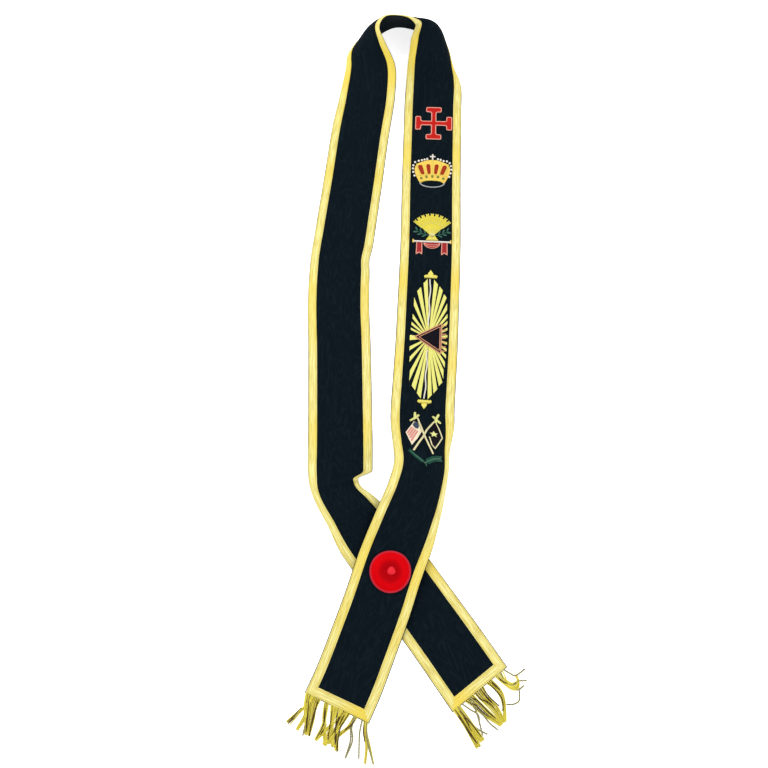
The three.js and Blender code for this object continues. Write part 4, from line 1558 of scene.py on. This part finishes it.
@dataclass
class Sheaf(Figure):
    """Sheaf of corn: ears that fan out over straw tied at a waist, with a leafy twig at each side."""

    ears: int = 9
    spread: float = 50.0
    waist: float = -8.0
    reach: float = 36.5
    cleft: float = 31.0
    foot: float = -17.0
    grains: int = 6
    grain_gap: float = 2.75
    grains_from: float = 18.5
    leaves: tuple[Point3, ...] = (
        (10, -6, 70), (10, -9, -20), (16, -3.5, 65), (16.5, -6.8, -10), (22, -0.5, 60), (22.5, -3.5, 0))
    leaf: float = 4.6

    def ear_at(self, k: float) -> Point:
        """Unit direction of the ear with a number, which may be between two ears."""
        angle = math.radians(self.spread * (2 * k / (self.ears - 1) - 1))
        return math.sin(angle), math.cos(angle)

    def ear(self, straw: Draft, grains: Draft, k: int) -> None:
        """Adds one ear and its straw.

        Args:
            straw: mesh for the straw.
            grains: mesh for the grains.
            k: number of the ear.
        """
        x, y = self.ear_at(k)
        share = 2 * k / (self.ears - 1) - 1
        stalk = [(-share * 8.6, self.foot + 0.5), (share * 2.6, self.waist), (x * 20, self.waist + y * 20)]
        self.cord(straw, stalk, radius=0.8, height=0.75)
        for n in range(self.grains):
            r = self.grains_from + n * self.grain_gap
            for side in (-1, 1):
                at = (x * r + side * y * 1.15, self.waist + y * r - side * x * 1.15)
                tip = (at[0] + x * 2.9 + side * y * 0.9, at[1] + y * 2.9 - side * x * 0.9)
                self.cord(grains, [at, tip], [0.45, 1.05, 0.5], height=0.85, step=1.0, sides=5)

    def build(self) -> Pieces:
        """Makes the sheaf.

        Returns:
            Its layers.
        """
        ground = self.layer("sheaf_ground", YELLOW_THREAD, "thread_yellow", "sheaf_motif")
        straw = self.layer("sheaf_straw", YELLOW_CORD, "thread_yellow")
        grains = self.layer("sheaf_grains", YELLOW_CORD, "thread_yellow")
        tie = self.layer("sheaf_tie", CREAM_CORD, "thread_cream")
        leaves = self.layer("sheaf_leaves", LEAF_THREAD, "thread_green")
        fan = []
        for k in range(2 * self.ears - 1):
            x, y = self.ear_at(k / 2)
            far = self.cleft if k % 2 else self.reach - 1
            fan.append((x * far, self.waist + y * far))
        outline = [(-9.5, self.foot), (-3.6, self.waist), *fan, (3.6, self.waist), (9.5, self.foot)]
        ground.patch(outline, rise=0.45, edge=0.7)
        for k in range(self.ears):
            self.ear(straw, grains, k)
        for y in (self.waist - 1, self.waist + 0.7):
            self.cord(tie, [(-4.2, y), (4.2, y)], radius=0.85, height=1.3)
        for side in (-1, 1):
            self.cord(leaves, [(side * 4, -9), (side * 13, -7), (side * 25, -1)], [0.7, 0.5, 0.3], height=0.3)
            for x, y, turn in self.leaves:
                dx, dy = self.leaf * math.cos(math.radians(turn)), self.leaf * math.sin(math.radians(turn))
                leaf = capsule((side * x, y), (side * (x + dx), y + dy), 0.7, 1.1, 4)
                leaves.patch(leaf, rise=0.5, edge=0.4)
        return self.done()


@dataclass
class Swag(Figure):
    """Pale rod with a gold cap at each end, a hanging swag and a forked tail at each side."""

    top: float = -19.3
    half: float = 28.0
    drop: float = 1.6
    tail: Span = (14.6, 23.0)
    foot: float = -40.0
    fork: float = 3.4
    cap: float = 2.6

    def build(self) -> Pieces:
        """Makes the swag.

        Returns:
            Its layers.
        """
        cloth = self.layer("swag_cloth", CRIMSON_THREAD, "thread_crimson", "swag_motif")
        trim = self.layer("swag_trim", PINK_CORD, "thread_cream")
        rod = self.layer("swag_rod", WHITE_CORD, "thread_cream")
        caps = self.layer("swag_caps", GOLD_CORD, "thread_gold")
        self.cord(rod, [(-self.half, self.top), (self.half, self.top)], radius=1.5, height=0.8)
        hang = self.top - self.drop
        cloth.patch([(-13, hang), *arc(0, hang, 12.4, 9.3, 190, 350, 13), (13, hang)], rise=0.6, edge=0.8)
        for depth in (9.2, 6.4, 3.4):
            self.cord(trim, arc(0, hang, 11 + depth / 7, depth, 188, 352, 17), radius=0.55, height=0.75)
        for side in (-1, 1):
            x, near, far = (side * reach for reach in (self.half, *self.tail))
            self.cord(caps, [(x, self.top - self.cap), (x, self.top + self.cap)], radius=1.3, height=1.2)
            tail = [(near + side * 0.4, hang), (far - side * 0.4, hang), (far, self.foot),
                    ((near + far) / 2, self.foot + self.fork), (near, self.foot)]
            cloth.patch(tail, rise=0.6, edge=0.8)
            self.cord(trim, [*tail[1:], tail[0]], radius=0.75, height=0.6)
        return self.done()


@dataclass(frozen=True)
class Ray:
    """One ray of the glory: the middle of its tip and half its width there."""

    x: float
    y: float
    half: float

    def outline(self, near: float, foot: float = 1.0, narrowing: float = 0.82, shoulder: float = 60.0,
                border: Point = (27.0, 20.9)) -> list[Point]:
        """Draws the ray, cut off along the border of the glory.

        Args:
            near: where it starts, as a share of its length.
            foot: half its width there.
            narrowing: share of its charted width that is stitched.
            shoulder: how far up or down the border turns in.
            border: which way the border faces past its shoulder.

        Returns:
            Its four corners.
        """
        tip = np.array([self.x, self.y])
        way = tip / np.linalg.norm(tip)
        side = np.array([-way[1], way[0]])
        slant = math.copysign(border[1], self.y) if abs(self.y) > shoulder else 0.0
        normal = np.array([math.copysign(border[0], self.x), slant])
        corners = []
        for hand in (1, -1):
            start = tip * near + hand * side * foot
            run = tip + hand * side * self.half * narrowing - start
            end = start + run * (normal @ (tip - start)) / (normal @ run)
            corners += [start, end][::hand]
        return [tuple(corner) for corner in corners]


RAYS = (
    Ray(-8.2, 88, 4.0), Ray(-17.2, 75, 4.1), Ray(-23.8, 55, 3.2), Ray(-24.8, 32, 2.7), Ray(-26, 21, 2.3),
    Ray(-26.5, 12.5, 2.0), Ray(-27.4, -1, 5.0), Ray(-26.8, -17.5, 3.2), Ray(-25.8, -34, 3.0),
    Ray(-24.2, -58, 3.6), Ray(-17.8, -76, 4.2), Ray(-9.4, -87, 4.2),
    Ray(7.6, 87, 4.0), Ray(15.4, 77.5, 3.8), Ray(21.8, 66, 3.3), Ray(24.8, 49, 2.9), Ray(25.8, 35, 2.4),
    Ray(26, 25, 2.2), Ray(26.3, 15, 2.2), Ray(26.6, 4, 2.3), Ray(26.6, -7, 2.3), Ray(26.3, -17, 2.2),
    Ray(26, -27, 2.4), Ray(25, -39, 2.8), Ray(23.8, -53, 3.2), Ray(20.6, -68, 3.8), Ray(13.8, -79, 3.8),
    Ray(6.4, -88, 3.8),
)


@dataclass
class Glory(Figure):
    """Pale gold rays from one middle, with a finial at top and foot and a corded triangle in front."""

    from_share: float = 0.13
    corners: tuple[Point, ...] = ((-19.8, 0.6), (17.6, 22.0), (18.0, -23.2))
    shrink: float = 0.80
    rungs: int = 7
    rung_gap: float = 6.4
    wave: Span = (19, 91)

    def finial(self, ends: Draft, end: int) -> None:
        """Adds the finial at the top or the foot.

        Args:
            ends: mesh to add to.
            end: 1 for the top or -1 for the foot.
        """
        bar = [(-10.4, end * 94.5), (-7, end * 95.4), (-0.5, end * 95), (5.5, end * 95.4), (8.8, end * 94.5)]
        self.cord(ends, bar, [2.2, 2.9, 2.4, 2.9, 2.2], height=0.9)
        leaf = [(-1, end * 106), (3.2, end * 100), (2, end * 96.5), (-4, end * 96.5), (-5.2, end * 100)]
        ends.patch(leaf, rise=0.9, edge=0.8)

    def build(self) -> Pieces:
        """Makes the glory.

        Returns:
            Its layers.
        """
        rays = self.layer("glory_rays", PALE_THREAD, "thread_pale_gold", "glory_motif")
        ends = self.layer("glory_finials", YELLOW_CORD, "thread_pale_gold")
        white = self.layer("glory_white", WHITE_CORD, "thread_cream")
        board = self.layer("triangle_board", BLACK_THREAD, "thread_black", "triangle_motif")
        rope = self.layer("triangle_rope", ROPE, "thread_gold")
        for ray in RAYS:
            rays.patch(ray.outline(self.from_share), rise=0.7, edge=min(0.8, ray.half * 0.25))
        for end in (-1, 1):
            self.finial(ends, end)
            wavy = [(-1 + 0.7 * math.sin(y / 5.2), end * y) for y in np.linspace(*self.wave, 46)]
            self.cord(white, wavy, radius=1.0, height=0.7)
        board.patch(self.corners, rise=0.9, edge=0.8, base=0.4)
        closed = [*self.corners, self.corners[0]]
        inner = [(x * self.shrink + 1.6, y * self.shrink) for x, y in closed]
        self.cord(rope, closed, radius=0.85, height=1.2, step=1.2)
        self.cord(rope, inner, radius=0.6, height=1.25, step=1.2)
        for k in range(self.rungs):
            y = -19.5 + k * self.rung_gap
            self.cord(rope, [(17.6, y), (24.8, y + 0.8)], radius=0.75, height=1.0)
        return self.done()


@dataclass
class Flags(Figure):
    """Two crossed flags with gold bows at the heads of their poles."""

    grain: float = 4.0
    poles: tuple[tuple[Point, ...], ...] = (
        ((-9.5, 37), (-7.5, 28), (-5.2, 18), (-3.6, 8), (-1.8, -2), (1.2, -12), (6, -24.5)),
        ((13.5, 32), (6.5, 21.5), (1.5, 14), (-1.2, 8), (-4.5, 1), (-9, -6), (-20.3, -23.3)))
    pale: tuple[Point, ...] = (
        (-27.2, 8), (-20.2, 20), (-15, 30), (-9, 28), (-5, 11), (-12.4, -3), (-21.3, -15), (-24.6, -4))
    dark: tuple[Point, ...] = (
        (15.5, 29), (19.5, 17), (23.3, 2.5), (17.5, -7), (10.8, -16), (6.3, -11), (3.8, 2), (6, 14),
        (12.5, 26))
    corner: tuple[Point, ...] = ((-17, 23), (-14, 29), (-9.4, 28), (-8.2, 21), (-9.8, 15.5), (-14, 17))
    stripes: int = 4
    stripes_from: Point = (-27, 7)
    stripes_up: Point = (12.5, 23)
    stripes_down: Point = (5.7, -21.8)
    bows: tuple[tuple[Point, ...], ...] = (
        ((-13.2, 36.5), (-20.2, 30.6), (-16.4, 33.4), (-7.6, 42.6), (-13.2, 46)),
        ((15.7, 36.5), (11.4, 41.2), (20.2, 44.6), (21.8, 28.4), (15.2, 29)))

    def build(self) -> Pieces:
        """Makes the flags.

        Returns:
            Their layers.
        """
        poles = self.layer("flag_poles", CREAM_CORD, "thread_cream", "flags_motif")
        white = self.layer("flag_white", CREAM_THREAD, "thread_cream")
        stripes = self.layer("flag_stripes", ROSE_THREAD, "thread_crimson")
        canton = self.layer("flag_canton", BLUE_THREAD, "thread_black")
        black = self.layer("flag_black", BLACK_THREAD, "thread_black")
        edge = self.layer("flag_edge", CREAM_CORD, "thread_cream")
        gold = self.layer("flag_gold", BOW_CORD, "thread_gold")
        for pole, height in zip(self.poles, (1.5, 1.0)):
            self.cord(poles, pole, radius=1.35, height=height)
        white.patch(self.pale, rise=0.7, edge=0.7, grain=self.grain)
        up, down = np.array(self.stripes_up), np.array(self.stripes_down)
        for k in range(self.stripes):
            a = np.array(self.stripes_from) + down * (0.16 + 0.21 * k) + up * 0.12
            b = a + up * (0.52 + 0.09 * k)
            stripe = capsule(tuple(a), tuple(b), 1.2, 1.2, 4)
            stripes.patch(stripe, rise=0.5, edge=0.4, base=0.5, grain=self.grain)
        canton.patch(self.corner, rise=0.55, edge=0.5, base=0.5, grain=self.grain)
        black.patch(self.dark, rise=0.5, edge=0.6, grain=self.grain)
        self.cord(edge, self.dark[:7], radius=0.95, height=0.7)
        gold.patch(star(11, 7.5, radius=6.0, waist=0.5), rise=0.9, edge=0.6, base=0.3, grain=self.grain)
        for knot, *loops in self.bows:
            for loop in loops:
                self.cord(gold, [knot, loop], [1.5, 2.1, 1.6], height=1.5)
            gold.bead(*knot, radius=2.6, base=0.5, flat=0.7)
        return self.done()


@dataclass
class Sprig(Figure):
    """Two leafy green branches that meet in a wide V."""

    branches: tuple[tuple[Point, ...], ...] = (
        ((0, -1.5), (-7, 3), (-13, 7.6), (-18, 13)), ((0, -1.5), (6, 2.4), (12, 5.8), (18.5, 7.8), (25, 9)))
    gap: float = 2.4
    leaf: float = 2.5
    leafing: tuple[float, ...] = (0.6, 1.1)

    def build(self) -> Pieces:
        """Makes the sprig.

        Returns:
            Its layers.
        """
        leaves = self.layer("sprig_leaves", GREEN_THREAD, "thread_green", "sprig_motif")
        stems = self.layer("sprig_stems", STEM_THREAD, "thread_green")
        for branch, leafing in zip(self.branches, self.leafing):
            reach = self.leaf * leafing
            self.cord(stems, branch, [0.8, 1.0, 0.7], height=0.9)
            line = smooth_line(np.array(branch), self.gap)
            for at, way in zip(line[1:], np.diff(line, axis=0) / self.gap):
                for side in (-1, 1):
                    tip = at + way * reach + np.array([-way[1], way[0]]) * side * reach
                    leaves.patch(capsule(tuple(at), tuple(tip), 0.7, 1.2, 4), rise=0.6, edge=0.4)
        self.cord(stems, [(0.5, -1.5), (3, -5.5)], [0.9, 0.6], height=0.7)
        return self.done()


# Studio

@dataclass
class Studio:
    """Pale floor, soft lights and the camera at the photograph's angle."""

    tilt: float = 15.7
    height: float = 1.049
    lens: float = 36.0
    sensor: float = 36.0
    floor_half: float = 6.0
    floor_drop: float = 0.0004
    floor_tone: float = 0.93
    floor_glow: float = 0.8
    sky: float = 0.75

    def floor(self) -> None:
        """Lays the floor just under the sash."""
        mesh = bmesh.new()
        bmesh.ops.create_grid(mesh, x_segments=1, y_segments=1, size=self.floor_half)
        data = bpy.data.meshes.new("floor")
        mesh.to_mesh(data)
        mesh.free()
        shader = Shader("floor_paper")
        shader.base(Base_Color=(self.floor_tone,) * 3 + (1,), Roughness=0.9, Specular_IOR_Level=0.1,
                    Emission_Color=(1, 1, 1, 1), Emission_Strength=self.floor_glow)
        data.materials.append(shader.material)
        floor = bpy.data.objects.new("floor", data)
        floor.location.z = -self.floor_drop
        bpy.context.scene.collection.objects.link(floor)

    def light(self, name: str, place: Point3, size: float, power: float) -> None:
        """Hangs a soft square light that faces the middle of the sash.

        Args:
            name: name of the light.
            place: where it hangs, in metres.
            size: its width in metres.
            power: its power in watts.
        """
        lamp = bpy.data.lights.new(name, "AREA")
        lamp.size, lamp.energy = size, power
        made = bpy.data.objects.new(name, lamp)
        made.location = place
        made.rotation_euler = (-Vector(place)).to_track_quat("-Z", "Y").to_euler()
        bpy.context.scene.collection.objects.link(made)

    def camera(self) -> None:
        """Sets the camera."""
        data = bpy.data.cameras.new("camera")
        data.lens, data.sensor_width = self.lens, self.sensor
        camera = bpy.data.objects.new("camera", data)
        camera.location = (-LAY.middle[0] * MM, -LAY.middle[1] * MM, self.height)
        camera.rotation_euler = (math.radians(self.tilt), 0, 0)
        bpy.context.scene.collection.objects.link(camera)
        bpy.context.scene.camera = camera

    def build(self) -> None:
        """Sets up the studio."""
        scene = bpy.context.scene
        scene.view_settings.view_transform = "Standard"
        world = bpy.data.worlds.new("studio")
        world.use_nodes = True
        colour, strength = world.node_tree.nodes["Background"].inputs[:2]
        colour.default_value = (1, 1, 1, 1)
        strength.default_value = self.sky
        scene.world = world
        self.floor()
        self.light("key", (-1.2, 0.9, 2.4), size=1.6, power=42)
        self.light("fill", (1.4, -0.6, 2.0), size=1.8, power=16)
        self.camera()


def main() -> None:
    """Builds the sash piece by piece and sets it in the studio."""
    logging.basicConfig(level=logging.INFO, format="%(name)s: %(message)s")
    Studio().build()
    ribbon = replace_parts(Ribbon().build(), "moire_ribbon")
    lace = Lace()
    trims = [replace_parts(lace.edge("lace_outer_edge", Side.OUTER), "lace_outer"),
             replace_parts(lace.edge("lace_inner_edge", Side.INNER), "lace_inner"),
             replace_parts(lace.end("lace_front_end", End.FRONT), "end_lace_front"),
             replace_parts(lace.end("lace_back_end", End.BACK), "end_lace_back"),
             *Fringe(End.FRONT, FRONT_LOCKS, FRONT_THREADS, seed=11).build("front_fringe", "fringe_front"),
             *Fringe(End.BACK, BACK_LOCKS, BACK_THREADS, seed=23).build("back_fringe", "fringe_back")]
    figures = (
        Rosette(Place(7, 36.1, across=2.6, lift=0.3)),
        Cross(Place(76, 718, across=1.7)),
        Crown(Place(73, 633.5, across=1.3)),
        Sheaf(Place(70, 534, across=2)),
        Swag(Place(70, 534, across=2)),
        Glory(Place(61.5, 363.5, across=2.7)),
        Flags(Place(54, 213, across=2.5, lift=0.1)),
        Sprig(Place(56, 177, across=-4, lift=0.1)),
    )
    for figure in figures:
        trims += figure.build()


if __name__ == "__main__":
    main()
